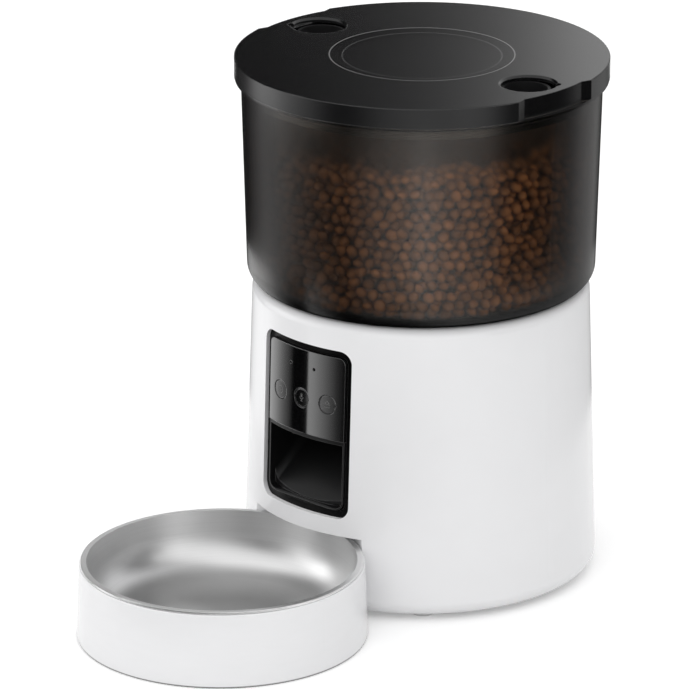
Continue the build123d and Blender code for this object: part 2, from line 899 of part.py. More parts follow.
with BuildPart() as hopper:
    with BuildSketch(front_plane) as tank_profile:
        Polygon(
            (chamber_r, tank_z),
            (tank_foot_r, tank_z),
            (tank_r, rim_bottom),
            (rim_r, rim_bottom),
            (rim_r, rim_top),
            (neck_r, rim_top),
            (neck_r, neck_top),
            (neck_r - neck_wall, neck_top),
            (tank_r - tank_wall - 0.2, rim_bottom - 6),
            (tank_foot_r - tank_wall, tank_z + tank_wall),
            (chamber_r, tank_z + tank_wall),
            align=None,
        )
        fillet(tank_profile.vertices().sort_by_distance((tank_foot_r, tank_z, 0))[0], tank_round)
        inner_corner = (tank_foot_r - tank_wall, tank_z + tank_wall, 0)
        fillet(tank_profile.vertices().sort_by_distance(inner_corner)[0], tank_round - tank_wall)
    revolve(axis=feeder_axis)
    # screw bosses round the hole in the floor
    with BuildSketch(level(tank_z)):
        with Locations(ring_points(chamber_screw_r, chamber_screw_angles)):
            Circle(3.6)
    extrude(amount=tank_wall + 6)
    with BuildSketch(level(tank_z)):
        with Locations(ring_points(chamber_screw_r, chamber_screw_angles)):
            Circle(1.1)
    extrude(amount=tank_wall + 4, mode=Mode.SUBTRACT)
    # windows in the neck that the lid's latches snap into
    with BuildSketch(front_plane):
        with Locations((0, latch_z + latch_t / 2)):
            Rectangle(2 * rim_r, latch_t + 2 * slide_gap)
    extrude(amount=tongue_half_w + 2 * slide_gap, both=True, mode=Mode.SUBTRACT)

# ---------------------------------------------------------------- dosing chamber and rotor

with BuildPart() as dosing_chamber:
    with BuildSketch(front_plane):
        Polygon(
            (spindle_r + shaft_gap, chamber_z),
            (chamber_r + chamber_wall + chamber_step, chamber_z),
            (chamber_r + chamber_wall + chamber_step, chamber_top - chamber_flange),
            (tank_hole_r - slide_gap, chamber_top - chamber_flange),
            (tank_hole_r - slide_gap, chamber_top),
            (chamber_r + chamber_step, chamber_top),
            (chamber_r + chamber_step, shield_z),
            (chamber_r, shield_z),
            (chamber_r, chamber_z + chamber_floor_t),
            (spindle_r + shaft_gap, chamber_z + chamber_floor_t),
            align=None,
        )
    revolve(axis=feeder_axis)
    # key at the back that sets the outlet over the chute
    with BuildSketch(level(chamber_top - chamber_flange)):
        with Locations((0, tank_hole_r)):
            Rectangle(key_w, 2 * key_reach)
    extrude(amount=chamber_flange)
    with BuildSketch(level(chamber_z)):
        sector(outlet_in_r, outlet_out_r, outlet_half_angle)
    extrude(amount=chamber_floor_t, mode=Mode.SUBTRACT)
    with BuildSketch(level(chamber_top - chamber_flange)):
        with Locations(ring_points(chamber_screw_r, chamber_screw_angles)):
            Circle(1.3)
    extrude(amount=chamber_flange, mode=Mode.SUBTRACT)
    with BuildSketch(level(chamber_top - chamber_flange)):
        with Locations(ring_points(chamber_screw_r, chamber_screw_angles)):
            Circle(1.9)
    extrude(amount=1.1, mode=Mode.SUBTRACT)

with BuildPart() as chamber_screws:
    with BuildSketch(level(chamber_top - chamber_flange + 0.1)):
        with Locations(ring_points(chamber_screw_r, chamber_screw_angles)):
            Circle(1.8)
    extrude(amount=1.0)
    with BuildSketch(level(chamber_top - chamber_flange + 0.1)):
        with Locations(ring_points(chamber_screw_r, chamber_screw_angles)):
            Circle(1.05)
    extrude(amount=7)

spindle_z = chamber_z + 0.2
socket_top = spindle_z + socket_depth
hub_top = shield_z + shield_t + 0.6

with BuildPart() as rotor:
    with BuildSketch(level(spindle_z)):
        Circle(spindle_r)
    extrude(amount=rotor_z - spindle_z)
    with BuildSketch(level(rotor_z)):
        Circle(hub_r)
    extrude(amount=hub_top - rotor_z)
    with BuildSketch(level(rotor_z)):
        with PolarLocations((hub_r + rotor_r) / 2 - 0.5, paddle_count):
            Rectangle(rotor_r - hub_r + 1, paddle_t)
    extrude(amount=paddle_h)
    with BuildSketch(level(spindle_z)):
        RegularPolygon(socket_af / 2, 6, major_radius=False)
    extrude(amount=socket_depth, mode=Mode.SUBTRACT)

with BuildPart() as stirrer:
    with BuildSketch(level(hub_top)):
        Circle(hub_r)
        SlotOverall(2 * stirrer_reach, 8)
    extrude(amount=3)
    with BuildSketch(level(hub_top + 3)):
        Circle(hub_r)
    extrude(amount=4, taper=35)

with BuildPart() as portion_shield:
    with BuildSketch(level(shield_z)):
        sector(hub_r + 0.6, chamber_r + chamber_step - fit_gap, shield_half_angle)
    extrude(amount=shield_t)

# ---------------------------------------------------------------- well and gearbox

second_place = polar(module_coarse * (drive_teeth + pinion_teeth) / 2, second_angle)
first_reach = polar(module_coarse * (second_teeth + pinion_teeth) / 2, first_angle)
first_place = (second_place[0] + first_reach[0], second_place[1] + first_reach[1])
motor_reach = polar(module_fine * (first_teeth + pinion_teeth) / 2, motor_angle)
motor_place = (first_place[0] + motor_reach[0], first_place[1] + motor_reach[1])
half_step = 180 / pinion_teeth
drive_wheel_r = module_coarse * (drive_teeth / 2 + addendum)
second_wheel_r = module_coarse * (second_teeth / 2 + addendum)
first_wheel_r = module_fine * (first_teeth / 2 + addendum)
motor_wheel_r = module_fine * (pinion_teeth / 2 + addendum)


def beside(place, wheel_r, angle):
    """Centre of a screw ear on the outside of the case, beside one of the wheels."""
    reach = polar(wheel_r + wheel_room + case_wall + ear_reach, angle)
    return (place[0] + reach[0], place[1] + reach[1])


case_ears = [
    beside((0, 0), drive_wheel_r, -20),
    beside((0, 0), drive_wheel_r, 75),
    beside(second_place, second_wheel_r, 90),
    beside(first_place, first_wheel_r, -90),
]


def case_outline(margin):
    """Outline round all the gears and the screw ears, in the current sketch."""
    Circle(drive_wheel_r + wheel_room + margin)
    with Locations(second_place):
        Circle(second_wheel_r + wheel_room + margin)
    with Locations(first_place):
        Circle(first_wheel_r + wheel_room + margin)
    with Locations(motor_place):
        Circle(motor_wheel_r + wheel_room + margin)


with BuildPart() as hopper_well:
    with BuildSketch(front_plane):
        Polygon(
            (shaft_r + slide_gap, well_z),
            (well_r + well_wall, well_z),
            (well_r + well_wall, well_top - well_wall),
            (well_flange_r, well_top - well_wall),
            (well_flange_r, well_top),
            (well_r, well_top),
            (well_r, well_floor_top),
            (shaft_r + slide_gap, well_floor_top),
            align=None,
        )
    revolve(axis=feeder_axis)
    with BuildSketch(level(well_z)):
        sector(outlet_in_r - 1.5, outlet_out_r + 1.5, outlet_half_angle + 2)
    extrude(amount=well_floor_t, mode=Mode.SUBTRACT)
    # posts that carry the gearbox
    with BuildSketch(level(well_z)):
        with Locations(case_ears):
            Circle(3.5)
            Circle(case_screw_r + 0.05, mode=Mode.SUBTRACT)
    extrude(amount=-case_drop)
    with BuildSketch(level(well_top)):
        with Locations(ring_points(well_screw_r, well_screw_angles)):
            Circle(well_screw_hole_r)
    extrude(amount=-well_wall, mode=Mode.SUBTRACT)

with BuildPart() as well_screws:
    with BuildSketch(level(well_top - well_wall)):
        with Locations(ring_points(well_screw_r, well_screw_angles)):
            Circle(2.8)
    extrude(amount=-1.6)
    with BuildSketch(level(well_top - well_wall)):
        with Locations(ring_points(well_screw_r, well_screw_angles)):
            Circle(well_screw_hole_r - 0.15)
    extrude(amount=well_wall + 1.9)

with BuildPart() as gearbox_case:
    with BuildSketch(level(case_z)):
        case_outline(case_wall)
        with Locations(case_ears):
            Circle(case_ear_r)
    extrude(amount=case_top - case_wall - case_z)
    with BuildSketch(level(case_z + case_wall)):
        case_outline(0)
        with Locations(case_ears):
            Circle(case_ear_r, mode=Mode.SUBTRACT)
    extrude(amount=case_top - case_z, mode=Mode.SUBTRACT)
    with BuildSketch(level(case_z)):
        Circle(5.5)
        with Locations(first_place, second_place):
            Circle(3.5)
    extrude(amount=layer_1 - 0.3 - case_z)
    with BuildSketch(level(case_z)):
        Circle(3 + shaft_gap)
        with Locations(motor_place):
            Circle(2.0)
        with Locations(case_ears):
            Circle(1.4)
    extrude(amount=case_top - case_z, mode=Mode.SUBTRACT)
    with BuildSketch(level(case_z + 0.8)):
        with Locations(first_place, second_place):
            Circle(axle_r + 0.02)
    extrude(amount=case_top - case_z, mode=Mode.SUBTRACT)

with BuildPart() as gearbox_cover:
    with BuildSketch(level(case_top - case_wall)):
        case_outline(case_wall)
        with Locations(case_ears):
            Circle(case_ear_r)
            Circle(1.4, mode=Mode.SUBTRACT)
        Circle(shaft_r + shaft_gap, mode=Mode.SUBTRACT)
        with Locations(first_place, second_place):
            Circle(axle_r + 0.02, mode=Mode.SUBTRACT)
    extrude(amount=case_wall)

with BuildPart() as gearbox_screws:
    with BuildSketch(level(case_z)):
        with Locations(case_ears):
            Circle(case_head_r)
    extrude(amount=-1.6)
    with BuildSketch(level(case_z)):
        with Locations(case_ears):
            Circle(case_screw_r)
    extrude(amount=case_top - case_z + 8)

with BuildPart() as gear_axles:
    with BuildSketch(level(case_z + 0.9)):
        with Locations(first_place, second_place):
            Circle(axle_r)
    extrude(amount=case_top - case_z - 1.2)

with BuildPart() as drive_gear:
    with BuildSketch(level(layer_3)):
        gear_outline(drive_teeth, module_coarse, second_angle)
    extrude(amount=wheel_t)
    with BuildSketch(level(case_z + 0.3)):
        Circle(3)
    extrude(amount=layer_3 - case_z)
    with BuildSketch(level(layer_3 + wheel_t)):
        Circle(shaft_r)
    extrude(amount=well_floor_top + slide_gap - layer_3 - wheel_t)
    with BuildSketch(level(well_floor_top)):
        Circle(3)
    extrude(amount=7)

with BuildPart() as drive_coupling:
    with BuildSketch(level(well_floor_top + slide_gap)):
        RegularPolygon(coupling_af / 2, 6, major_radius=False)
        Circle(3.05, mode=Mode.SUBTRACT)
    extrude(amount=socket_top - 0.5 - well_floor_top - slide_gap)

with BuildPart() as second_gear:
    with BuildSketch(level(layer_2)):
        with Locations(second_place):
            gear_outline(second_teeth, module_coarse, first_angle)
    extrude(amount=wheel_t)
    with BuildSketch(level(layer_2 + wheel_t)):
        with Locations(second_place):
            gear_outline(pinion_teeth, module_coarse, second_angle + 180 + half_step)
    extrude(amount=layer_3 - layer_2 + 0.3)
    with BuildSketch(level(layer_2)):
        with Locations(second_place):
            Circle(axle_r + shaft_gap)
    extrude(amount=2 * layer_3, mode=Mode.SUBTRACT)

with BuildPart() as first_gear:
    with BuildSketch(level(layer_1)):
        with Locations(first_place):
            gear_outline(first_teeth, module_fine, motor_angle)
    extrude(amount=wheel_t)
    with BuildSketch(level(layer_1 + wheel_t)):
        with Locations(first_place):
            gear_outline(pinion_teeth, module_coarse, first_angle + 180 + half_step)
    extrude(amount=layer_2 - layer_1 + 0.3)
    with BuildSketch(level(layer_1)):
        with Locations(first_place):
            Circle(axle_r + shaft_gap)
    extrude(amount=2 * layer_3, mode=Mode.SUBTRACT)

with BuildPart() as motor_pinion:
    with BuildSketch(level(layer_1)):
        with Locations(motor_place):
            gear_outline(pinion_teeth, module_fine, motor_angle + 180 + half_step)
    extrude(amount=wheel_t)
    with BuildSketch(level(case_z - 6)):
        with Locations(motor_place):
            Circle(motor_shaft_r)
    extrude(amount=layer_1 - case_z + 6)

with BuildPart() as gear_motor:
    with BuildSketch(level(case_z - motor_h)):
        with Locations(motor_place):
            Circle(motor_r)
    extrude(amount=motor_h)
    with BuildSketch(level(case_z - motor_h)):
        with Locations(motor_place):
            Circle(4)
            Rectangle(9, 3)
    extrude(amount=-2.5)
    with BuildSketch(level(case_z)):
        with Locations(motor_place):
            Circle(motor_shaft_r + shaft_gap)
    extrude(amount=-6.5, mode=Mode.SUBTRACT)

# ---------------------------------------------------------------- lid

spigot_in = spigot_r - spigot_wall
lid_post_places = ring_points(lid_post_r, (45, 135, 225, 315))

with BuildPart() as lid:
    with BuildSketch(front_plane):
        Polygon(
            (0, lid_top - dish_depth),
            (dish_floor_r, lid_top - dish_depth),
            (dish_r, lid_top),
            (lid_r, lid_top),
            (lid_r, rim_top),
            (lid_r - skirt_wall, rim_top),
            (lid_r - skirt_wall, plate_z),
            (spigot_r, plate_z),
            (spigot_r, liner_z),
            (spigot_in, liner_z),
            (spigot_in, plate_z),
            (box_r + box_wall, plate_z),
            (box_r + box_wall, liner_top),
            (box_r, liner_top),
            (box_r, plate_z),
            (0, plate_z),
            align=None,
        )
    revolve(axis=feeder_axis)
    fillet(lid.faces().sort_by(Axis.Z)[-1].outer_wire().edges(), lid_edge_round)
    # the skirt steps inwards in a notch on each side, over the latches
    with BuildSketch(level(rim_top)):
        for middle in (0, 180):
            sector(
                notch_r - notch_wall, lid_r - 1, notch_half_angle + notch_blend_angle + 1, middle
            )
    extrude(amount=plate_z - rim_top)
    with BuildSketch(level(rim_top - 1)):
        for middle in (0, 180):
            low = middle - notch_half_angle
            high = middle + notch_half_angle
            with BuildLine():
                ThreePointArc(polar(notch_r, low), polar(notch_r, middle), polar(notch_r, high))
                Line(polar(notch_r, high), polar(lid_r + 0.3, high + notch_blend_angle))
                Line(
                    polar(lid_r + 0.3, high + notch_blend_angle), polar(lid_r + 9, middle + 8)
                )
                Line(polar(lid_r + 9, middle + 8), polar(lid_r + 9, middle - 8))
                Line(
                    polar(lid_r + 9, middle - 8), polar(lid_r + 0.3, low - notch_blend_angle)
                )
                Line(polar(lid_r + 0.3, low - notch_blend_angle), polar(notch_r, low))
            make_face()
    extrude(amount=lid_h + 2, mode=Mode.SUBTRACT)
    # finger holes with a bevelled edge and a small ear
    for side in (-1, 1):
        ear = polar(finger_r - 1, ear_angle)
        ear_place = (side * (finger_x + ear[0]), side * ear[1])
        with BuildSketch(level(lid_top)):
            with Locations((side * finger_x, 0)):
                Circle(finger_r)
            with Locations(ear_place):
                Circle(ear_r)
        extrude(amount=-lid_top_t, mode=Mode.SUBTRACT)
        with BuildSketch(level(lid_top)):
            with Locations((side * finger_x, 0)):
                Circle(finger_r + finger_bevel)
        extrude(amount=-finger_bevel, taper=45, mode=Mode.SUBTRACT)
    # slots in the spigot for the latches' tongues
    with BuildSketch(front_plane):
        with Locations((0, latch_z + latch_t / 2)):
            Rectangle(2 * (spigot_r + 1), latch_t + 2 * slide_gap)
            Rectangle(2 * (spigot_in - 1), latch_t + 2 * slide_gap, mode=Mode.SUBTRACT)
    extrude(amount=tongue_half_w + slide_gap, both=True, mode=Mode.SUBTRACT)
    # bayonet grooves for the desiccant cover's lugs, each with its way in
    with BuildSketch(level(lug_z - slide_gap)):
        for angle in lug_angles:
            sector(
                box_r - 0.5,
                groove_r,
                lug_half_angle + cover_twist / 2 + 1,
                angle + cover_twist / 2,
            )
    extrude(amount=lug_h + 2 * slide_gap, mode=Mode.SUBTRACT)
    with BuildSketch(level(liner_top)):
        for angle in lug_angles:
            sector(box_r - 0.5, groove_r, lug_half_angle + 1, angle + cover_twist)
    extrude(amount=lug_z - liner_top, mode=Mode.SUBTRACT)
    # posts for the liner's screws
    with BuildSketch(level(liner_top)):
        with Locations(lid_post_places):
            Circle(3.2)
            Circle(1.1, mode=Mode.SUBTRACT)
    extrude(amount=plate_z - liner_top)

with BuildPart() as lid_liner:
    with BuildSketch(level(liner_z)):
        Circle(spigot_in - fit_gap)
        Circle(box_r, mode=Mode.SUBTRACT)
        with Locations(lid_post_places):
            Circle(1.4, mode=Mode.SUBTRACT)
    extrude(amount=liner_t)
    with BuildSketch(level(liner_z)):
        for angle in lug_angles:
            sector(box_r - 0.5, groove_r, lug_half_angle + 1, angle + cover_twist)
    extrude(amount=liner_t, mode=Mode.SUBTRACT)

with BuildPart() as liner_screws:
    with BuildSketch(level(liner_z)):
        with Locations(lid_post_places):
            Circle(2.4)
    extrude(amount=-1.4)
    with BuildSketch(level(liner_z)):
        with Locations(lid_post_places):
            Circle(1.05)
    extrude(amount=9)

with BuildPart() as lid_seal:
    with BuildSketch(front_plane):
        Polygon(
            (spigot_r, rim_top - 4.5),
            (spigot_r + 0.5, rim_top - 4.5),
            (neck_r - neck_wall - slide_gap, rim_top - 3.2),
            (neck_r - neck_wall - slide_gap, rim_top - 2.2),
            (spigot_r + 0.5, rim_top - 1.2),
            (spigot_r, rim_top - 1.2),
            align=None,
        )
    revolve(axis=feeder_axis)


def lid_latch(side):
    """Finger cup that slides under the lid, with the tongue that locks in the tank's neck."""
    with BuildPart() as latch:
        with BuildSketch(level(latch_z)):
            with Locations((side * (latch_x + latch_reach / 2), 0)):
                Rectangle(latch_reach, 2 * tongue_half_w)
            Circle(latch_tip_r, mode=Mode.INTERSECT)
        extrude(amount=latch_t)
        with BuildSketch(level(cup_z)):
            with Locations((side * latch_x, 0)):
                Circle(cup_r)
        extrude(amount=plate_z - slide_gap - 0.1 - cup_z)
        with BuildSketch(level(cup_z + cup_floor)):
            with Locations((side * latch_x, 0)):
                Circle(cup_r - cup_wall)
        extrude(amount=plate_z - cup_z, mode=Mode.SUBTRACT)
    return latch


latch_left = lid_latch(-1)
latch_right = lid_latch(1)


def latch_spring(side):
    """Bowed leaf spring that pushes one latch outwards from the desiccant box."""
    foot_y = spring_half_w
    foot_x = side * (sqrt((box_r + box_wall) ** 2 - foot_y**2) + 0.4)
    tip_x = side * (latch_x - cup_r - 0.1)
    leaf = spring_leaf
    with BuildPart() as spring:
        with BuildSketch(level(latch_z - 2)):
            with BuildLine():
                ThreePointArc((foot_x, -foot_y), (tip_x, 0), (foot_x, foot_y))
                Line((foot_x, foot_y), (foot_x, foot_y - 1.3 * leaf))
                ThreePointArc(
                    (foot_x, foot_y - 1.3 * leaf),
                    (tip_x - side * leaf, 0),
                    (foot_x, -foot_y + 1.3 * leaf),
                )
                Line((foot_x, -foot_y + 1.3 * leaf), (foot_x, -foot_y))
            make_face()
        extrude(amount=latch_t + 4)
    return spring


latch_spring_left = latch_spring(-1)
latch_spring_right = latch_spring(1)

with BuildPart() as desiccant_cover:
    with BuildSketch(level(liner_z)):
        Circle(box_r - slide_gap)
        with PolarLocations(26, cover_slots):
            SlotOverall(18, 2.4, mode=Mode.SUBTRACT)
    extrude(amount=cover_t)
    with BuildSketch(level(liner_z + cover_t)):
        Circle(box_r - slide_gap)
        Circle(box_r - 2.2, mode=Mode.SUBTRACT)
    extrude(amount=cover_rim)
    # lugs that turn into the grooves of the box
    with BuildSketch(level(lug_z)):
        for angle in lug_angles:
            sector(box_r - 1.5, lug_out_r, lug_half_angle, angle)
    extrude(amount=lug_h)
    with BuildSketch(level(liner_z)):
        SlotOverall(26, 5)
    extrude(amount=-grip_h)

# ---------------------------------------------------------------- tray and bowl

with BuildPart() as bowl_tray:
    with BuildSketch(bowl_plane) as tray_profile:
        Polygon(
            (0, tray_foot_h),
            (tray_radius(tray_foot_h) - tray_wall, tray_foot_h),
            (tray_foot_r - tray_wall, 0),
            (tray_foot_r, 0),
            (tray_rim_r, tray_h),
            (tray_rim_r - tray_wall, tray_h),
            (tray_radius(tray_floor_top) - tray_wall, tray_floor_top),
            (0, tray_floor_top),
            align=None,
        )
        fillet(tray_profile.vertices().sort_by_distance((tray_rim_r, tray_h, 0))[0], 0.8)
        fillet(tray_profile.vertices().sort_by_distance((tray_foot_r, 0, 0))[0], 0.8)
    revolve(axis=bowl_axis)
    # tongue that slides into the slot at the back of the bay
    with BuildSketch(bowl_plane.offset(-(tray_foot_r - tray_wall))):
        with Locations((0, tongue_z)):
            Rectangle(tongue_w, tongue_h)
    extrude(amount=-(tongue_reach + tray_wall))

bowl_r = bead_r - bead_w + bowl_sheet
bowl_z = bead_top - bowl_depth

with BuildPart() as steel_bowl:
    with BuildSketch(bowl_plane) as bowl_profile:
        Polygon(
            (0, bowl_z),
            (bowl_r - bowl_taper, bowl_z),
            (bowl_r, bead_top),
            (0, bead_top),
            align=None,
        )
        corner = (bowl_r - bowl_taper, bowl_z, 0)
        fillet(bowl_profile.vertices().sort_by_distance(corner)[0], bowl_round)
    revolve(axis=bowl_axis)
    offset(amount=-bowl_sheet, openings=steel_bowl.faces().sort_by(Axis.Z)[-1])
    # rolled rim that lies on the tray's edge
    with BuildSketch(bowl_plane) as bead_profile:
        Polygon(
            (bowl_r - bowl_sheet, tray_h),
            (bead_r, tray_h),
            (bead_r, bead_top),
            (bowl_r - bowl_sheet, bead_top),
            align=None,
        )
        fillet(bead_profile.vertices().group_by(Axis.X)[-1], bead_h * 0.4)
        fillet(bead_profile.vertices().sort_by_distance((0, bead_top, 0))[0], bead_h * 0.4)
    revolve(axis=bowl_axis)

# ---------------------------------------------------------------- power inlet and speaker

jack_end = base_radius(base_z + jack_z) - 0.5
jack_face = base_radius(base_z + jack_z, base_wall) - 0.8
jack_place = (0, base_z + jack_z)

with BuildPart() as power_inlet:
    with BuildSketch(front_plane.offset(-(jack_face - 14))):
        with Locations(jack_place):
            Rectangle(10, 11)
    extrude(amount=-14)
    with BuildSketch(front_plane.offset(-jack_face)):
        with Locations(jack_place):
            Circle(jack_collar_r)
    extrude(amount=-(jack_end - jack_face))
    with BuildSketch(front_plane.offset(-jack_end)):
        with Locations(jack_place):
            Circle(jack_r)
            Circle(jack_pin_r, mode=Mode.SUBTRACT)
    extrude(amount=11, mode=Mode.SUBTRACT)

with BuildPart() as speaker:
    with BuildSketch(level(floor_top)):
        with Locations(speaker_place):
            Circle(speaker_r)
    extrude(amount=2.5)
    with BuildSketch(level(floor_top + 2.5)):
        with Locations(speaker_place):
            Circle(speaker_r)
    extrude(amount=speaker_h - 2.5, taper=40)

# ---------------------------------------------------------------- write every piece

pieces = {
    "base_housing": base_housing,
    "base_floor": base_floor,
    "base_screws": base_screws,
    "rubber_feet": rubber_feet,
    "battery_door": battery_door,
    "battery_contacts": battery_contacts,
    "window_frame": window_frame,
    "control_panel": control_panel,
    "mode_button": mode_button,
    "record_button": record_button,
    "feed_button": feed_button,
    "control_board": control_board,
    "tact_switches": tact_switches,
    "board_screws": board_screws,
    "status_lamp": status_lamp,
    "microphone": microphone,
    "microphone_boot": microphone_boot,
    "chute": chute,
    "feed_sensors": feed_sensors,
    "hopper": hopper,
    "dosing_chamber": dosing_chamber,
    "chamber_screws": chamber_screws,
    "rotor": rotor,
    "stirrer": stirrer,
    "portion_shield": portion_shield,
    "hopper_well": hopper_well,
    "well_screws": well_screws,
    "gearbox_case": gearbox_case,
    "gearbox_cover": gearbox_cover,
    "gearbox_screws": gearbox_screws,
    "gear_axles": gear_axles,
    "drive_gear": drive_gear,
    "drive_coupling": drive_coupling,
    "second_gear": second_gear,
    "first_gear": first_gear,
    "motor_pinion": motor_pinion,
    "gear_motor": gear_motor,
    "lid": lid,
    "lid_liner": lid_liner,
    "liner_screws": liner_screws,
    "lid_seal": lid_seal,
    "latch_left": latch_left,
    "latch_right": latch_right,
    "latch_spring_left": latch_spring_left,
    "latch_spring_right": latch_spring_right,
    "desiccant_cover": desiccant_cover,
    "bowl_tray": bowl_tray,
    "steel_bowl": steel_bowl,
    "power_inlet": power_inlet,
    "speaker": speaker,
}

for name, piece in pieces.items():
    piece.part.label = name
    export_step(piece.part, f"parts/{name}.step")
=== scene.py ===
"""Looks of the automatic pet feeder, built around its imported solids."""

import json
import math
import random

import bmesh
import bpy
from mathutils import Matrix, Vector, noise


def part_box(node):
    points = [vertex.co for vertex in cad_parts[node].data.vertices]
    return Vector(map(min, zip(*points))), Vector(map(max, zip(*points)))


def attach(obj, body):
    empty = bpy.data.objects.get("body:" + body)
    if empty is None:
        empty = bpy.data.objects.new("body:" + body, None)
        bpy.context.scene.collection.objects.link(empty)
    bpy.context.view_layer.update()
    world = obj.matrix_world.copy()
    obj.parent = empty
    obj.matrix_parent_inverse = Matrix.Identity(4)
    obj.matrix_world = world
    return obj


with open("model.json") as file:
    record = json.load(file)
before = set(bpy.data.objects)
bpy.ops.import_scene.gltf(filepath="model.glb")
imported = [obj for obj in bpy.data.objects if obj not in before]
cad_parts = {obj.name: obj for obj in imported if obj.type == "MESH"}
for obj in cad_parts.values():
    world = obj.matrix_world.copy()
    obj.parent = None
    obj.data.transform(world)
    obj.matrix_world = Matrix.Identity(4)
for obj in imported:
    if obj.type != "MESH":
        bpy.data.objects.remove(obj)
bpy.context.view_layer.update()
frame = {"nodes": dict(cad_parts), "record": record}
nodes = frame["nodes"]

# ---------------------------------------------------------------- places and sizes, in metres

FEEDER_Y = 0.06405  # the tank's axis
BOWL_Y = -0.08695  # the bowl's axis
LID_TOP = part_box("lid")[1].z
TANK_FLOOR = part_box("hopper")[0].z + 0.0024
TANK_CORNER = TANK_FLOOR + 0.0085  # where the tank's foot turns into its wall
BOWL_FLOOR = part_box("steel_bowl")[0].z + 0.0008
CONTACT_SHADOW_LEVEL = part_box("bowl_tray")[0].z + 0.0006

# ---------------------------------------------------------------- camera

VIEW_AZIMUTH = math.radians(44.527)
VIEW_DROP = math.radians(19.533)
VIEW_DISTANCE = 3.07803
VIEW_LENS = 297.47


def make_camera():
    """Long-lens camera from the front right, looking slightly down."""
    right = Vector((math.cos(VIEW_AZIMUTH), math.sin(VIEW_AZIMUTH), 0))
    back = Vector(
        (
            math.sin(VIEW_AZIMUTH) * math.cos(VIEW_DROP),
            -math.cos(VIEW_AZIMUTH) * math.cos(VIEW_DROP),
            math.sin(VIEW_DROP),
        )
    )
    up = back.cross(right)
    target = Vector((0, FEEDER_Y, 0.123519)) - right * 0.041188
    data = bpy.data.cameras.new("camera")
    data.lens = VIEW_LENS
    data.sensor_width = 36
    data.clip_end = 50
    camera = bpy.data.objects.new("camera", data)
    bpy.context.scene.collection.objects.link(camera)
    turn = Matrix((right, up, back)).transposed().to_4x4()
    camera.matrix_world = Matrix.Translation(target + back * VIEW_DISTANCE) @ turn
    bpy.context.scene.camera = camera
    return camera


make_camera()
bpy.context.scene.view_settings.view_transform = "Standard"

# ---------------------------------------------------------------- node groups


def group(name, inputs, outputs):
    """Empty shader node group with the given float inputs and outputs."""
    tree = bpy.data.node_groups.new(name, "ShaderNodeTree")
    for label, value in inputs:
        socket = tree.interface.new_socket(name=label, in_out="INPUT", socket_type="NodeSocketFloat")
        socket.default_value = value
    for label, kind in outputs:
        tree.interface.new_socket(name=label, in_out="OUTPUT", socket_type=kind)
    start = tree.nodes.new("NodeGroupInput")
    end = tree.nodes.new("NodeGroupOutput")
    return tree, start, end


def node(tree, kind, **settings):
    """New node in a tree, with its settings."""
    made = tree.nodes.new(kind)
    for key, value in settings.items():
        setattr(made, key, value)
    return made


def math_node(tree, operation, first, second=None):
    """Math node fed by links or plain numbers."""
    made = node(tree, "ShaderNodeMath", operation=operation)
    for socket, value in zip(made.inputs, (first, second)):
        if value is None:
            continue
        if isinstance(value, (int, float)):
            socket.default_value = value
        else:
            tree.links.new(value, socket)
    return made.outputs[0]


def spot(tree):
    """Separate X, Y and Z of each place on a piece."""
    place = node(tree, "ShaderNodeTexCoord")
    split = node(tree, "ShaderNodeSeparateXYZ")
    tree.links.new(place.outputs["Object"], split.inputs[0])
    return split


def distance(tree, x, y):
    """Length of a level vector."""
    squares = [math_node(tree, "MULTIPLY", part, part) for part in (x, y)]
    return math_node(tree, "SQRT", math_node(tree, "ADD", *squares))


def ramp_between(tree, value, start, end):
    """Smooth mask that climbs from 0 to 1 between two levels."""
    ramp = node(tree, "ShaderNodeMapRange", interpolation_type="SMOOTHSTEP")
    ramp.inputs["From Min"].default_value = start
    ramp.inputs["From Max"].default_value = end
    tree.links.new(value, ramp.inputs["Value"])
    return ramp.outputs[0]


def recolour(tree, bsdf, colour, mask, blend="MIX"):
    """Lays a colour over a material's own colour where the mask is 1."""
    mix = node(tree, "ShaderNodeMix", data_type="RGBA", blend_type=blend)
    mix.inputs["B"].default_value = (*colour, 1)
    tree.links.new(bsdf.inputs["Base Color"].links[0].from_socket, mix.inputs["A"])
    tree.links.new(mask, mix.inputs["Factor"])
    tree.links.new(mix.outputs["Result"], bsdf.inputs["Base Color"])


def fine_grain_group():
    """Moulded plastic: a fine uneven surface, and slight wear in the gloss."""
    tree, start, end = group(
        "fine_grain",
        (("Scale", 900.0), ("Roughness", 0.3), ("Spread", 0.05)),
        (("Height", "NodeSocketFloat"), ("Roughness", "NodeSocketFloat")),
    )
    place = node(tree, "ShaderNodeTexCoord")
    fine = node(tree, "ShaderNodeTexNoise")
    fine.inputs["Detail"].default_value = 3
    broad = node(tree, "ShaderNodeTexNoise")
    broad.inputs["Scale"].default_value = 22
    broad.inputs["Detail"].default_value = 4
    tree.links.new(place.outputs["Object"], fine.inputs["Vector"])
    tree.links.new(place.outputs["Object"], broad.inputs["Vector"])
    tree.links.new(start.outputs["Scale"], fine.inputs["Scale"])
    tree.links.new(fine.outputs[0], end.inputs["Height"])
    shift = math_node(tree, "SUBTRACT", broad.outputs[0], 0.5)
    shift = math_node(tree, "MULTIPLY", shift, start.outputs["Spread"])
    tree.links.new(
        math_node(tree, "ADD", shift, start.outputs["Roughness"]), end.inputs["Roughness"]
    )
    return tree


FINE_GRAIN = fine_grain_group()


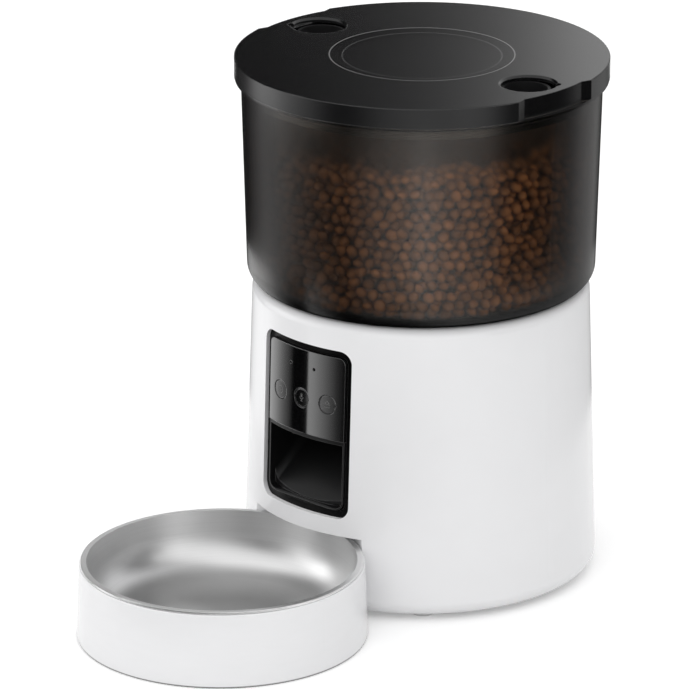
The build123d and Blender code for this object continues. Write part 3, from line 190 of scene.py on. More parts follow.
def turned_group():
    """Fine rings of a turned or spun sheet, about the bowl's or another piece's upright axis."""
    tree, start, end = group(
        "turned_lines",
        (("Centre X", 0.0), ("Centre Y", 0.0), ("Density", 2500.0)),
        (("Height", "NodeSocketFloat"), ("Streak", "NodeSocketFloat")),
    )
    split = spot(tree)
    density = start.outputs["Density"]
    x = math_node(tree, "SUBTRACT", split.outputs["X"], start.outputs["Centre X"])
    y = math_node(tree, "SUBTRACT", split.outputs["Y"], start.outputs["Centre Y"])
    turn = math_node(tree, "ARCTAN2", y, x)
    join = node(tree, "ShaderNodeCombineXYZ")
    tree.links.new(math_node(tree, "MULTIPLY", distance(tree, x, y), density), join.inputs["X"])
    tree.links.new(math_node(tree, "MULTIPLY", turn, 1.6), join.inputs["Y"])
    tree.links.new(math_node(tree, "MULTIPLY", split.outputs["Z"], density), join.inputs["Z"])
    lines = node(tree, "ShaderNodeTexNoise")
    lines.inputs["Scale"].default_value = 1.0
    lines.inputs["Detail"].default_value = 2
    tree.links.new(join.outputs[0], lines.inputs["Vector"])
    tree.links.new(lines.outputs[0], end.inputs["Height"])
    tree.links.new(lines.outputs[0], end.inputs["Streak"])
    return tree


TURNED_LINES = turned_group()


def soft_edge_group():
    """Sharp edges shaded as if rounded, and a mask that is 1 along them."""
    tree, start, end = group(
        "soft_edges",
        (("Radius", 0.0005),),
        (("Normal", "NodeSocketVector"), ("Edge", "NodeSocketFloat")),
    )
    rounded = node(tree, "ShaderNodeBevel", samples=6)
    tree.links.new(start.outputs["Radius"], rounded.inputs["Radius"])
    surface = node(tree, "ShaderNodeNewGeometry")
    along = node(tree, "ShaderNodeVectorMath", operation="DOT_PRODUCT")
    tree.links.new(rounded.outputs[0], along.inputs[0])
    tree.links.new(surface.outputs["Normal"], along.inputs[1])
    apart = math_node(tree, "SUBTRACT", 1.0, along.outputs["Value"])
    edge = node(tree, "ShaderNodeMath", operation="MULTIPLY", use_clamp=True)
    edge.inputs[1].default_value = 4.0
    tree.links.new(apart, edge.inputs[0])
    tree.links.new(edge.outputs[0], end.inputs["Edge"])
    near = node(tree, "ShaderNodeMapRange")
    near.inputs["From Min"].default_value = 0.01
    near.inputs["From Max"].default_value = 0.06
    tree.links.new(edge.outputs[0], near.inputs["Value"])
    pick = node(tree, "ShaderNodeMix", data_type="VECTOR")
    tree.links.new(near.outputs[0], pick.inputs["Factor"])
    tree.links.new(surface.outputs["Normal"], pick.inputs["A"])
    tree.links.new(rounded.outputs[0], pick.inputs["B"])
    tree.links.new(pick.outputs["Result"], end.inputs["Normal"])
    return tree


SOFT_EDGES = soft_edge_group()

# ---------------------------------------------------------------- materials


def shader(name):
    """New material with a bare Principled shader."""
    made = bpy.data.materials.new(name)
    made.use_nodes = True
    return made, made.node_tree, made.node_tree.nodes["Principled BSDF"]


def place_group(tree, shared, **values):
    """Puts a shared group into a material with its own values."""
    placed = tree.nodes.new("ShaderNodeGroup")
    placed.node_tree = shared
    for label, value in values.items():
        placed.inputs[label.replace("_", " ")].default_value = value
    return placed


def bump(tree, bsdf, height, depth, strength=1.0):
    """Bump of a real depth in metres."""
    made = node(tree, "ShaderNodeBump")
    made.inputs["Distance"].default_value = depth
    made.inputs["Strength"].default_value = strength
    tree.links.new(height, made.inputs["Height"])
    tree.links.new(made.outputs["Normal"], bsdf.inputs["Normal"])
    return made


def plastic(name, colour, roughness, spread=0.04, grain=900.0, depth=0.000004, ior=1.5):
    """Moulded plastic with a fine surface."""
    made, tree, bsdf = shader(name)
    surface = place_group(tree, FINE_GRAIN, Scale=grain, Roughness=roughness, Spread=spread)
    tree.links.new(surface.outputs["Roughness"], bsdf.inputs["Roughness"])
    bump(tree, bsdf, surface.outputs["Height"], depth)
    tone = node(tree, "ShaderNodeTexNoise")
    tone.inputs["Scale"].default_value = 9
    mix = node(tree, "ShaderNodeMix", data_type="RGBA")
    mix.inputs["A"].default_value = (*[c * 0.985 for c in colour], 1)
    mix.inputs["B"].default_value = (*[min(1, c * 1.015) for c in colour], 1)
    tree.links.new(tone.outputs[0], mix.inputs["Factor"])
    tree.links.new(mix.outputs["Result"], bsdf.inputs["Base Color"])
    bsdf.inputs["IOR"].default_value = ior
    return made


def soften_edges(made, radius, edge_highlight_level=0.0):
    """Rounds a material's sharp edges in the shading, and paints a pale highlight line along them at a
    given level.
    """
    tree = made.node_tree
    edge = place_group(tree, SOFT_EDGES, Radius=radius)
    for other in tree.nodes:
        if other.bl_idname == "ShaderNodeBump":
            tree.links.new(edge.outputs["Normal"], other.inputs["Normal"])
    # painted highlight: the colour is paled along the edges, as if they caught the light
    if edge_highlight_level:
        recolour(tree, tree.nodes["Principled BSDF"], (edge_highlight_level, edge_highlight_level, edge_highlight_level), edge.outputs["Edge"])
    return made


def round_group():
    """True normal of the panel's and buttons' faces, which follow the housing's cone."""
    tree, start, end = group("window_round", (), (("Normal", "NodeSocketVector"),))
    tree.interface.new_socket(name="Normal", in_out="INPUT", socket_type="NodeSocketVector")
    place = node(tree, "ShaderNodeTexCoord")
    away = node(tree, "ShaderNodeVectorMath", operation="SUBTRACT")
    away.inputs[1].default_value = (0, FEEDER_Y, 0)
    tree.links.new(place.outputs["Object"], away.inputs[0])
    level = node(tree, "ShaderNodeVectorMath", operation="MULTIPLY")
    level.inputs[1].default_value = (1, 1, 0)
    tree.links.new(away.outputs[0], level.inputs[0])
    lean = node(tree, "ShaderNodeVectorMath", operation="ADD")
    lean.inputs[1].default_value = (0, 0, 0.0029)
    tree.links.new(level.outputs[0], lean.inputs[0])
    out = node(tree, "ShaderNodeVectorMath", operation="NORMALIZE")
    tree.links.new(lean.outputs[0], out.inputs[0])
    same = node(tree, "ShaderNodeVectorMath", operation="DOT_PRODUCT")
    tree.links.new(start.outputs["Normal"], same.inputs[0])
    tree.links.new(out.outputs[0], same.inputs[1])
    pick = node(tree, "ShaderNodeMix", data_type="VECTOR")
    along = math_node(tree, "GREATER_THAN", same.outputs["Value"], 0.98)
    tree.links.new(along, pick.inputs["Factor"])
    tree.links.new(start.outputs["Normal"], pick.inputs["A"])
    tree.links.new(out.outputs[0], pick.inputs["B"])
    tree.links.new(pick.outputs["Result"], end.inputs["Normal"])
    return tree


WINDOW_ROUND = round_group()


def true_round(made):
    """Lets a face that follows the housing mirror as a clean cone."""
    tree = made.node_tree
    turned = place_group(tree, WINDOW_ROUND)
    for other in tree.nodes:
        if other.bl_idname == "ShaderNodeBump":
            tree.links.new(other.inputs["Normal"].links[0].from_socket, turned.inputs["Normal"])
            tree.links.new(turned.outputs["Normal"], other.inputs["Normal"])
    return made


def flatten_dish(made):
    """Lets the lid's shallow dish shade as flat, with a fine painted highlight line at its two edges."""
    tree = made.node_tree
    split = spot(tree)
    y = math_node(tree, "SUBTRACT", split.outputs["Y"], FEEDER_Y)
    across = distance(tree, split.outputs["X"], y)
    inside = math_node(tree, "LESS_THAN", across, 0.0497)
    high = math_node(tree, "GREATER_THAN", split.outputs["Z"], LID_TOP - 0.0012)
    mask = math_node(tree, "MULTIPLY", inside, high)
    flat = node(tree, "ShaderNodeMix", data_type="VECTOR")
    flat.inputs["B"].default_value = (0, 0, 1)
    tree.links.new(mask, flat.inputs["Factor"])
    lines = None
    for radius, share in ((0.0493, 1.0), (0.0425, 0.35)):
        away = math_node(tree, "ABSOLUTE", math_node(tree, "SUBTRACT", across, radius))
        line = math_node(tree, "SUBTRACT", 1.0, math_node(tree, "MULTIPLY", away, 1800.0))
        line = math_node(tree, "MULTIPLY", math_node(tree, "MAXIMUM", line, 0.0), share)
        lines = line if lines is None else math_node(tree, "ADD", lines, line)
    # painted highlight: pale rings on the lid's top at the dish's two edges
    dish_highlight_lines = math_node(tree, "MULTIPLY", lines, high)
    recolour(tree, tree.nodes["Principled BSDF"], (0.22, 0.22, 0.22), dish_highlight_lines)
    for other in tree.nodes:
        if other.bl_idname == "ShaderNodeBump":
            tree.links.new(other.inputs["Normal"].links[0].from_socket, flat.inputs["A"])
            tree.links.new(flat.outputs["Result"], other.inputs["Normal"])
    return made


def steel(name, colour, roughness, centre=(0.0, 0.0), density=2500.0, depth=0.000006, spread=0.12):
    """Spun or turned steel with fine rings."""
    made, tree, bsdf = shader(name)
    rings = place_group(tree, TURNED_LINES, Centre_X=centre[0], Centre_Y=centre[1], Density=density)
    bump(tree, bsdf, rings.outputs["Height"], depth)
    bsdf.inputs["Metallic"].default_value = 1.0
    band = node(tree, "ShaderNodeMapRange")
    band.inputs["To Min"].default_value = roughness - spread / 2
    band.inputs["To Max"].default_value = roughness + spread / 2
    tree.links.new(rings.outputs["Streak"], band.inputs["Value"])
    tree.links.new(band.outputs[0], bsdf.inputs["Roughness"])
    mix = node(tree, "ShaderNodeMix", data_type="RGBA")
    mix.inputs["A"].default_value = (*[c * 0.93 for c in colour], 1)
    mix.inputs["B"].default_value = (*[min(1, c * 1.06) for c in colour], 1)
    tree.links.new(rings.outputs["Streak"], mix.inputs["Factor"])
    tree.links.new(mix.outputs["Result"], bsdf.inputs["Base Color"])
    return made


def spin_and_shade_floor(made):
    """Spun bowl: streaks about its axis, and painted shade that darkens its floor."""
    tree = made.node_tree
    bsdf = tree.nodes["Principled BSDF"]
    bsdf.inputs["Anisotropic"].default_value = 0.7
    bsdf.inputs["Anisotropic Rotation"].default_value = 0.25
    turn = node(tree, "ShaderNodeTangent", direction_type="RADIAL", axis="Z")
    tree.links.new(turn.outputs[0], bsdf.inputs["Tangent"])
    # painted shade: the colour is darkened towards the bowl's floor
    floor = ramp_between(tree, spot(tree).outputs["Z"], BOWL_FLOOR + 0.0045, BOWL_FLOOR + 0.0002)
    recolour(tree, bsdf, (0.55, 0.55, 0.55), floor, "MULTIPLY")
    return made


def painted_contact_shadow(made):
    """Painted contact shadow: a dark line where a shell stands on the ground."""
    tree = made.node_tree
    # painted shadow: the colour darkens to grey along the lowest part of the shell
    low = ramp_between(tree, spot(tree).outputs["Z"], CONTACT_SHADOW_LEVEL + 0.0007, CONTACT_SHADOW_LEVEL)
    recolour(tree, tree.nodes["Principled BSDF"], (0.20, 0.20, 0.20), low)
    return made


WHITE_SHELL = painted_contact_shadow(
    plastic("white_shell", (0.80, 0.80, 0.81), 0.22, grain=700.0, depth=0.000003)
)
WHITE_INNER = plastic("white_inner", (0.76, 0.76, 0.77), 0.45)
PALE_RUBBER = plastic("pale_rubber", (0.70, 0.70, 0.70), 0.7, depth=0.00001)
# the last number given to soften_edges is the level of a painted highlight line along the edges of the lid,
# the frame and the chute
BLACK_LID = flatten_dish(
    soften_edges(plastic("black_lid", (0.0035, 0.0035, 0.0038), 0.22, spread=0.04), 0.0006, 0.06)
)
BLACK_LINER = plastic("black_liner", (0.006, 0.006, 0.0065), 0.42)
BLACK_FRAME = soften_edges(plastic("black_frame", (0.0015, 0.0015, 0.0016), 0.3, ior=1.22), 0.0003, 0.08)
PANEL_GLOSS = true_round(
    soften_edges(
        plastic("panel_gloss", (0.002, 0.002, 0.0022), 0.09, spread=0.02, depth=0.0000005, ior=2.2), 0.0006
    )
)
BUTTON_GLOSS = true_round(
    soften_edges(
        plastic("button_gloss", (0.002, 0.002, 0.0022), 0.12, spread=0.02, depth=0.0000005, ior=2.1), 0.0016
    )
)
ICON_PRINT = plastic("icon_print", (0.10, 0.10, 0.10), 0.4)
BLACK_CHUTE = soften_edges(plastic("black_chute", (0.0045, 0.0045, 0.0048), 0.38, ior=1.4), 0.0004, 0.12)
SENSOR_BLACK = plastic("sensor_black", (0.02, 0.02, 0.02), 0.5)
BLACK_RUBBER = plastic("black_rubber", (0.02, 0.02, 0.02), 0.75, depth=0.00001)
BOARD_GREEN = plastic("board_green", (0.02, 0.12, 0.05), 0.35)
GEAR_PLASTIC = plastic("gear_plastic", (0.78, 0.76, 0.70), 0.4)
ROTOR_PLASTIC = plastic("rotor_plastic", (0.40, 0.41, 0.42), 0.4)
CHAMBER_PLASTIC = plastic("chamber_plastic", (0.05, 0.05, 0.05), 0.4)
SPEAKER_BLACK = plastic("speaker_black", (0.03, 0.03, 0.032), 0.6)
LAMP_CLEAR = plastic("lamp_clear", (0.004, 0.004, 0.004), 0.5, ior=1.2)
BOWL_STEEL = spin_and_shade_floor(steel("bowl_steel", (0.89, 0.89, 0.89), 0.36, centre=(0.0, BOWL_Y)))
SCREW_STEEL = steel("screw_steel", (0.55, 0.55, 0.56), 0.32)
MOTOR_CAN = steel("motor_can", (0.50, 0.51, 0.52), 0.34)
CONTACT_NICKEL = steel("contact_nickel", (0.62, 0.61, 0.58), 0.22)
PINION_BRASS = steel("pinion_brass", (0.62, 0.46, 0.18), 0.28)
CAPSULE_METAL = steel("capsule_metal", (0.60, 0.60, 0.62), 0.3)
SPRING_STEEL = steel("spring_steel", (0.55, 0.55, 0.56), 0.25)


def upright_foot_with_shade(tree, height, grain):
    """Lets the tank's round foot shine like the wall above it; gives a mask of painted shade on the foot.
    """
    surface = node(tree, "ShaderNodeNewGeometry")
    upright = node(tree, "ShaderNodeVectorMath", operation="MULTIPLY")
    upright.inputs[1].default_value = (1, 1, 0.06)
    tree.links.new(surface.outputs["Normal"], upright.inputs[0])
    even = node(tree, "ShaderNodeVectorMath", operation="NORMALIZE")
    tree.links.new(upright.outputs[0], even.inputs[0])
    low = math_node(tree, "LESS_THAN", height, TANK_CORNER)
    corner = node(tree, "ShaderNodeMix", data_type="VECTOR")
    tree.links.new(low, corner.inputs["Factor"])
    tree.links.new(surface.outputs["Normal"], corner.inputs["A"])
    tree.links.new(even.outputs[0], corner.inputs["B"])
    tree.links.new(corner.outputs["Result"], grain.inputs["Normal"])
    # painted shade: the foot is darkened at its lowest, and wherever it leans well away from upright
    foot = ramp_between(tree, height, TANK_FLOOR + 0.0034, TANK_FLOOR + 0.0010)
    lean = node(tree, "ShaderNodeSeparateXYZ")
    tree.links.new(surface.outputs["Normal"], lean.inputs[0])
    lean_shade = ramp_between(tree, math_node(tree, "ABSOLUTE", lean.outputs["Z"]), 0.22, 0.55)
    return math_node(tree, "MAXIMUM", foot, math_node(tree, "MULTIPLY", lean_shade, low))


def smoke_plastic():
    """Translucent smoked plastic of the tank, clear enough to show the food behind it."""
    made, tree, bsdf = shader("smoke_tank")
    surface = place_group(tree, FINE_GRAIN, Scale=500.0, Roughness=0.19, Spread=0.02)
    tree.links.new(surface.outputs["Roughness"], bsdf.inputs["Roughness"])
    grain = bump(tree, bsdf, surface.outputs["Height"], 0.000003)
    # the longer way through the wall at a slant swallows more light, and the foot is darkened by painted
    # shade
    slant = node(tree, "ShaderNodeLayerWeight")
    slant.inputs["Blend"].default_value = 0.5
    depth = ramp_between(tree, slant.outputs["Facing"], 0.10, 0.50)
    foot = upright_foot_with_shade(tree, spot(tree).outputs["Z"], grain)
    tint = node(tree, "ShaderNodeMix", data_type="RGBA")
    tint.inputs["A"].default_value = (0.80, 0.71, 0.62, 1)
    tint.inputs["B"].default_value = (0.02, 0.018, 0.017, 1)
    tree.links.new(math_node(tree, "MAXIMUM", depth, foot), tint.inputs["Factor"])
    tree.links.new(tint.outputs["Result"], bsdf.inputs["Base Color"])
    bsdf.inputs["Transmission Weight"].default_value = 1.0
    bsdf.inputs["Metallic"].default_value = 0.0
    bsdf.inputs["IOR"].default_value = 1.45
    return made


SMOKE_TANK = smoke_plastic()

FINISHES = {
    "white_shell": WHITE_SHELL,
    "white_inner": WHITE_INNER,
    "pale_rubber": PALE_RUBBER,
    "smoke_tank": SMOKE_TANK,
    "smoke_chamber": CHAMBER_PLASTIC,
    "rotor_plastic": ROTOR_PLASTIC,
    "black_lid": BLACK_LID,
    "black_liner": BLACK_LINER,
    "black_frame": BLACK_FRAME,
    "panel_gloss": PANEL_GLOSS,
    "button_gloss": BUTTON_GLOSS,
    "black_chute": BLACK_CHUTE,
    "lamp_clear": LAMP_CLEAR,
    "sensor_black": SENSOR_BLACK,
    "board_green": BOARD_GREEN,
    "screw_steel": SCREW_STEEL,
    "axle_steel": SCREW_STEEL,
    "gear_plastic": GEAR_PLASTIC,
    "pinion_brass": PINION_BRASS,
    "motor_can": MOTOR_CAN,
    "contact_nickel": CONTACT_NICKEL,
    "speaker_black": SPEAKER_BLACK,
    "capsule_metal": CAPSULE_METAL,
    "black_rubber": BLACK_RUBBER,
    "spring_steel": SPRING_STEEL,
    "bowl_steel": BOWL_STEEL,
}

for part in frame["record"]["subparts"]:
    solid = nodes[part["node"]]
    solid.data.materials.clear()
    solid.data.materials.append(FINISHES[part["material_slot"]])

# ---------------------------------------------------------------- food in the tank


def kibble_material():
    """Baked brown food with a rough, slightly greasy skin."""
    made, tree, bsdf = shader("kibble")
    # the tone attribute holds each piece's own tone together with painted light and shade
    tone_and_shade = node(tree, "ShaderNodeAttribute", attribute_name="tone")
    ramp = node(tree, "ShaderNodeMix", data_type="RGBA")
    ramp.inputs["A"].default_value = (0.045, 0.018, 0.007, 1)
    ramp.inputs["B"].default_value = (0.60, 0.285, 0.115, 1)
    tree.links.new(tone_and_shade.outputs["Fac"], ramp.inputs["Factor"])
    tree.links.new(ramp.outputs["Result"], bsdf.inputs["Base Color"])
    skin = node(tree, "ShaderNodeTexNoise")
    skin.inputs["Scale"].default_value = 1400
    skin.inputs["Detail"].default_value = 3
    bump(tree, bsdf, skin.outputs[0], 0.0002, 0.6)
    bsdf.inputs["Roughness"].default_value = 0.55
    return made


FOOD_TOP = 0.2435
KERNEL = 0.0036
SPACING = 0.0067
FOOD_LOW = TANK_FLOOR + 0.0040
BED_SIDES = 96


def food_height(x, y):
    """Top of the heap of food at a place, in metres above the ground."""
    return FOOD_TOP + 0.003 * noise.noise(Vector((x * 35, y * 35, 0.3)))


def shade_across(x, y):
    """Food lies darker on one side, the left one in the main view."""
    across = x * math.cos(VIEW_AZIMUTH) + y * math.sin(VIEW_AZIMUTH)
    share = min(1.0, max(0.0, (across + 0.062) / 0.067))
    return 0.36 + 0.64 * share * share * (3 - 2 * share)


def kernel_shape():
    """Corners and faces of one baked piece, about a unit in radius."""
    nugget = bmesh.new()
    bmesh.ops.create_icosphere(nugget, subdivisions=2, radius=1.0)
    for v in nugget.verts:
        v.co.z *= 0.78
        v.co *= 1 + 0.10 * noise.noise(v.co * 1.7)
    verts = [v.co.copy() for v in nugget.verts]
    faces = [[v.index for v in f.verts] for f in nugget.faces]
    nugget.free()
    return verts, faces


def wall_places(rng):
    """Places of the pieces that lie against the tank's wall, in two layers."""
    places = []
    for layer in range(2):
        z = FOOD_LOW
        row = 0
        while z < 0.262:
            foot = 0.0910 + 0.0024 * (z - FOOD_LOW) / 0.1
            corner = max(0.0, 1 - (z - FOOD_LOW) / 0.0075)
            ring = foot - 0.0042 - layer * 0.0052 - 0.0050 * corner**2
            count = int(2 * math.pi * ring / SPACING)
            for k in range(count):
                turn = 2 * math.pi * (k + 0.5 * (row % 2) + rng.uniform(-0.22, 0.22)) / count
                r = ring - rng.uniform(0, 0.0012)
                x = r * math.cos(turn)
                y = FEEDER_Y + r * math.sin(turn)
                level = z + rng.uniform(-0.0010, 0.0010)
                if level < food_height(x, y):
                    places.append((x, y, level))
            z += SPACING * 0.84
            row += 1
    return places


def heap_places(rng):
    """Places of the pieces that cover the top of the heap."""
    places = []
    step = SPACING * 0.95
    span = int(0.09 / step) + 1
    for i in range(-span, span + 1):
        for j in range(-span, span + 1):
            x = (i + 0.5 * (j % 2) + rng.uniform(-0.2, 0.2)) * step
            y = (j * 0.87 + rng.uniform(-0.2, 0.2)) * step
            if math.hypot(x, y) < 0.0845:
                y += FEEDER_Y
                places.append((x, y, food_height(x, y) + rng.uniform(-0.0012, 0.0012)))
    return places


def add_food(name, mesh):
    """Links a mesh of food that travels with the tank."""
    for face in mesh.polygons:
        face.use_smooth = True
    food = bpy.data.objects.new(name, mesh)
    bpy.context.scene.collection.objects.link(food)
    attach(food, "hopper")


def make_kibble(coat):
    """Small baked pieces against the tank's wall and over the top."""
    rng = random.Random(7)
    shape_verts, shape_faces = kernel_shape()
    verts, faces, tones_and_shades = [], [], []
    for x, y, z in wall_places(rng) + heap_places(rng):
        size = KERNEL * rng.uniform(0.82, 1.10)
        tip = Matrix.Rotation(rng.uniform(0, 6.3), 3, "X")
        turn = tip @ Matrix.Rotation(rng.uniform(0, 6.3), 3, "Z")
        centre = Vector((x, y, z))
        out = Vector((x, y - FEEDER_Y, 0.7 * math.hypot(x, y - FEEDER_Y)))
        # a random tone for each piece, times painted shade from shade_across
        tone = rng.uniform(0.42, 0.92) * shade_across(x, y - FEEDER_Y)
        # painted shadow: pieces on the heap's top get a much darker tone, as if shaded by the lid
        if out.length < 0.083:
            out = Vector((0, 0, 1))
            tone *= 0.2
        out.normalize()
        first = len(verts)
        for v in shape_verts:
            arm = turn @ v
            verts.append(centre + arm * size)
            # painted light and shade: each piece is lighter on its side facing outwards and up, darker on
            # its far side
            tones_and_shades.append(max(0.0, min(1.0, tone * (0.35 + 0.9 * arm.dot(out)))))
        faces.extend([first + i for i in face] for face in shape_faces)
    mesh = bpy.data.meshes.new("kibble")
    mesh.from_pydata(verts, [], faces)
    mesh.attributes.new("tone", "FLOAT", "POINT").data.foreach_set("value", tones_and_shades)
    mesh.materials.append(coat)
    add_food("kibble", mesh)


def make_kibble_bed(coat):
    """Core of the food behind the pieces that are seen, in the darkest tone as painted shade between them.
    """
    core = bmesh.new()
    rings = []
    for z, r in ((FOOD_LOW - 0.002, 0.078), (FOOD_LOW + 0.008, 0.0832), (0.2450, 0.0832)):
        ring = []
        for k in range(BED_SIDES):
            turn = 2 * math.pi * k / BED_SIDES
            x, y = r * math.cos(turn), FEEDER_Y + r * math.sin(turn)
            ring.append(core.verts.new((x, y, z if z < 0.23 else food_height(x, y) - 0.003)))
        rings.append(ring)
    for lower, upper in zip(rings, rings[1:]):
        for k in range(BED_SIDES):
            after = (k + 1) % BED_SIDES
            core.faces.new((lower[k], lower[after], upper[after], upper[k]))
    core.faces.new(list(reversed(rings[0])))
    top = core.verts.new((0, FEEDER_Y, food_height(0, FEEDER_Y) - 0.003))
    for k in range(BED_SIDES):
        core.faces.new((rings[-1][k], rings[-1][(k + 1) % BED_SIDES], top))
    mesh = bpy.data.meshes.new("kibble_bed")
    core.to_mesh(mesh)
    core.free()
    # the tone stays 0, the darkest colour, as painted shade in the gaps between the pieces
    mesh.attributes.new("tone", "FLOAT", "POINT")
    mesh.materials.append(coat)
    add_food("kibble_bed", mesh)


KIBBLE = kibble_material()
make_kibble(KIBBLE)
make_kibble_bed(KIBBLE)

# ---------------------------------------------------------------- marks on the buttons

BUTTON_MIDDLE = (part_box("record_button")[0].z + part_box("record_button")[1].z) / 2
BUTTON_PITCH = (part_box("feed_button")[0].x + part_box("feed_button")[1].x) / 2


def on_button(across, up):
    """Place just in front of the buttons' curved faces, which follow the housing's taper."""
    height = BUTTON_MIDDLE + up
    radius = 0.0959 - (height - 0.003) * 0.0325 - 0.00091
    return (across, FEEDER_Y - math.sqrt(radius**2 - across**2), height)


def stroke(mesh, column, points, width):
    """Flat stroke of even width along points given in millimetres from a button's middle."""
    left, right = [], []
    for k, point in enumerate(points):
        before = Vector(points[max(0, k - 1)])
        after = Vector(points[min(len(points) - 1, k + 1)])
        if points[0] == points[-1] and k in (0, len(points) - 1):
            before, after = Vector(points[-2]), Vector(points[1])
        along = (after - before).normalized()
        side = Vector((-along.y, along.x)) * width / 2
        for row, spot in ((left, Vector(point) + side), (right, Vector(point) - side)):
            place = on_button(column * BUTTON_PITCH + spot.x / 1000, spot.y / 1000)
            row.append(mesh.verts.new(place))
    for k in range(len(points) - 1):
        mesh.faces.new((left[k], left[k + 1], right[k + 1], right[k]))


def arc(radius, start, end, middle=(0.0, 0.0), steps=20):
    """Points on an arc, in millimetres and degrees."""
    turns = [math.radians(start + (end - start) * k / steps) for k in range(steps + 1)]
    points = [(middle[0] + radius * math.cos(t), middle[1] + radius * math.sin(t)) for t in turns]
    if abs(end - start) == 360:
        points[-1] = points[0]
    return points


def make_icon(name, column, strokes):
    """Printed mark that rides on one button."""
    mesh = bmesh.new()
    for points, width in strokes:
        stroke(mesh, column, points, width)
    bmesh.ops.recalc_face_normals(mesh, faces=mesh.faces)
    data = bpy.data.meshes.new(name)
    mesh.to_mesh(data)
    mesh.free()
    data.materials.append(ICON_PRINT)
    icon = bpy.data.objects.new(name, data)
    bpy.context.scene.collection.objects.link(icon)
    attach(icon, name.replace("_icon", "_button"))


CLOCK = [(arc(2.1, 0, 360), 0.42), ([(0, 1.25), (0, 0), (0.9, -0.5)], 0.38)]
MICROPHONE = [
    ([(0, 0.35), (0, 1.75)], 1.15),
    (arc(0.575, 0, 180, (0, 1.75)), 0.25),
    (arc(1.25, 180, 360, (0, 0.55)), 0.34),
    ([(0, -0.7), (0, -1.7)], 0.34),
    ([(-0.8, -1.8), (0.8, -1.8)], 0.34),
]
FOOD_BOWL = [
    ([(-2.1, 0.1), (2.1, 0.1), (1.5, -1.5), (-1.5, -1.5), (-2.1, 0.1)], 0.38),
    (arc(0.3, 0, 360, (-0.9, 1.0), 10), 0.5),
    (arc(0.3, 0, 360, (0.9, 1.0), 10), 0.5),
    (arc(0.3, 0, 360, (0.0, 1.8), 10), 0.5),
]
make_icon("mode_icon", -1, CLOCK)
make_icon("record_icon", 0, MICROPHONE)
make_icon("feed_icon", 1, FOOD_BOWL)

# ---------------------------------------------------------------- floor and light


def white_for_lens(tree):
    """1 where the lens, a gloss or a glass looks straight at a surface, and 0 for its light."""
    path = node(tree, "ShaderNodeLightPath")
    seen = math_node(tree, "MAXIMUM", path.outputs["Is Camera Ray"], path.outputs["Is Glossy Ray"])
    return math_node(tree, "MAXIMUM", seen, path.outputs["Is Transmission Ray"])


def make_stage():
    """White floor that keeps a soft shadow, and a white surround."""
    mesh = bpy.data.meshes.new("floor")
    mesh.from_pydata([(-9, -9, 0), (9, -9, 0), (9, 9, 0), (-9, 9, 0)], [], [(0, 1, 2, 3)])
    floor = bpy.data.objects.new("floor", mesh)
    bpy.context.scene.collection.objects.link(floor)
    made, tree, bsdf = shader("floor_white")
    bsdf.inputs["Base Color"].default_value = (0.86, 0.86, 0.86, 1)
    bsdf.inputs["Roughness"].default_value = 0.9
    bsdf.inputs["Specular IOR Level"].default_value = 0.0
    glow = node(tree, "ShaderNodeEmission")
    glow.inputs["Color"].default_value = (1, 1, 1, 1)
    tree.links.new(math_node(tree, "MULTIPLY", white_for_lens(tree), 0.24), glow.inputs["Strength"])
    add = node(tree, "ShaderNodeAddShader")
    tree.links.new(bsdf.outputs[0], add.inputs[0])
    tree.links.new(glow.outputs[0], add.inputs[1])
    tree.links.new(add.outputs[0], tree.nodes["Material Output"].inputs["Surface"])
    mesh.materials.append(made)
    world = bpy.data.worlds.new("studio")
    bpy.context.scene.world = world
    world.use_nodes = True
    sky = world.node_tree
    back = sky.nodes["Background"]
    white = node(sky, "ShaderNodeBackground")
    white.inputs["Color"].default_value = (1, 1, 1, 1)
    white.inputs["Strength"].default_value = 1.0
    back.inputs["Color"].default_value = (1, 1, 1, 1)
    back.inputs["Strength"].default_value = 0.87
    pick = node(sky, "ShaderNodeMixShader")
    sky.links.new(white_for_lens(sky), pick.inputs[0])
    sky.links.new(back.outputs[0], pick.inputs[1])
    sky.links.new(white.outputs[0], pick.inputs[2])
    sky.links.new(pick.outputs[0], sky.nodes["World Output"].inputs["Surface"])


def card_material():
    """Plain studio card, as bright as its own light value says at each place."""
    made, tree, _ = shader("studio_card")
    light = node(tree, "ShaderNodeAttribute", attribute_name="light")
    glow = node(tree, "ShaderNodeEmission")
    tree.links.new(light.outputs["Fac"], glow.inputs["Strength"])
    tree.links.new(glow.outputs[0], tree.nodes["Material Output"].inputs["Surface"])
    return made


CARD = card_material()


def add_card(name, verts, faces, lights):
    """Card that only gloss and clear plastic show: it sets how bright their reflections are."""
    mesh = bpy.data.meshes.new(name)
    mesh.from_pydata(verts, [], faces)
    mesh.attributes.new("light", "FLOAT", "POINT").data.foreach_set("value", lights)
    mesh.materials.append(CARD)
    card = bpy.data.objects.new(name, mesh)
    bpy.context.scene.collection.objects.link(card)
    card.visible_camera = False
    card.visible_diffuse = False
    card.visible_volume_scatter = False
    card.visible_shadow = False


def studio_point(turn, away, height):
    """Place at a distance from the tank's axis, turned from the lens's side towards its right."""
    angle = VIEW_AZIMUTH - math.pi / 2 + math.radians(turn)
    return (away * math.cos(angle), FEEDER_Y + away * math.sin(angle), height)


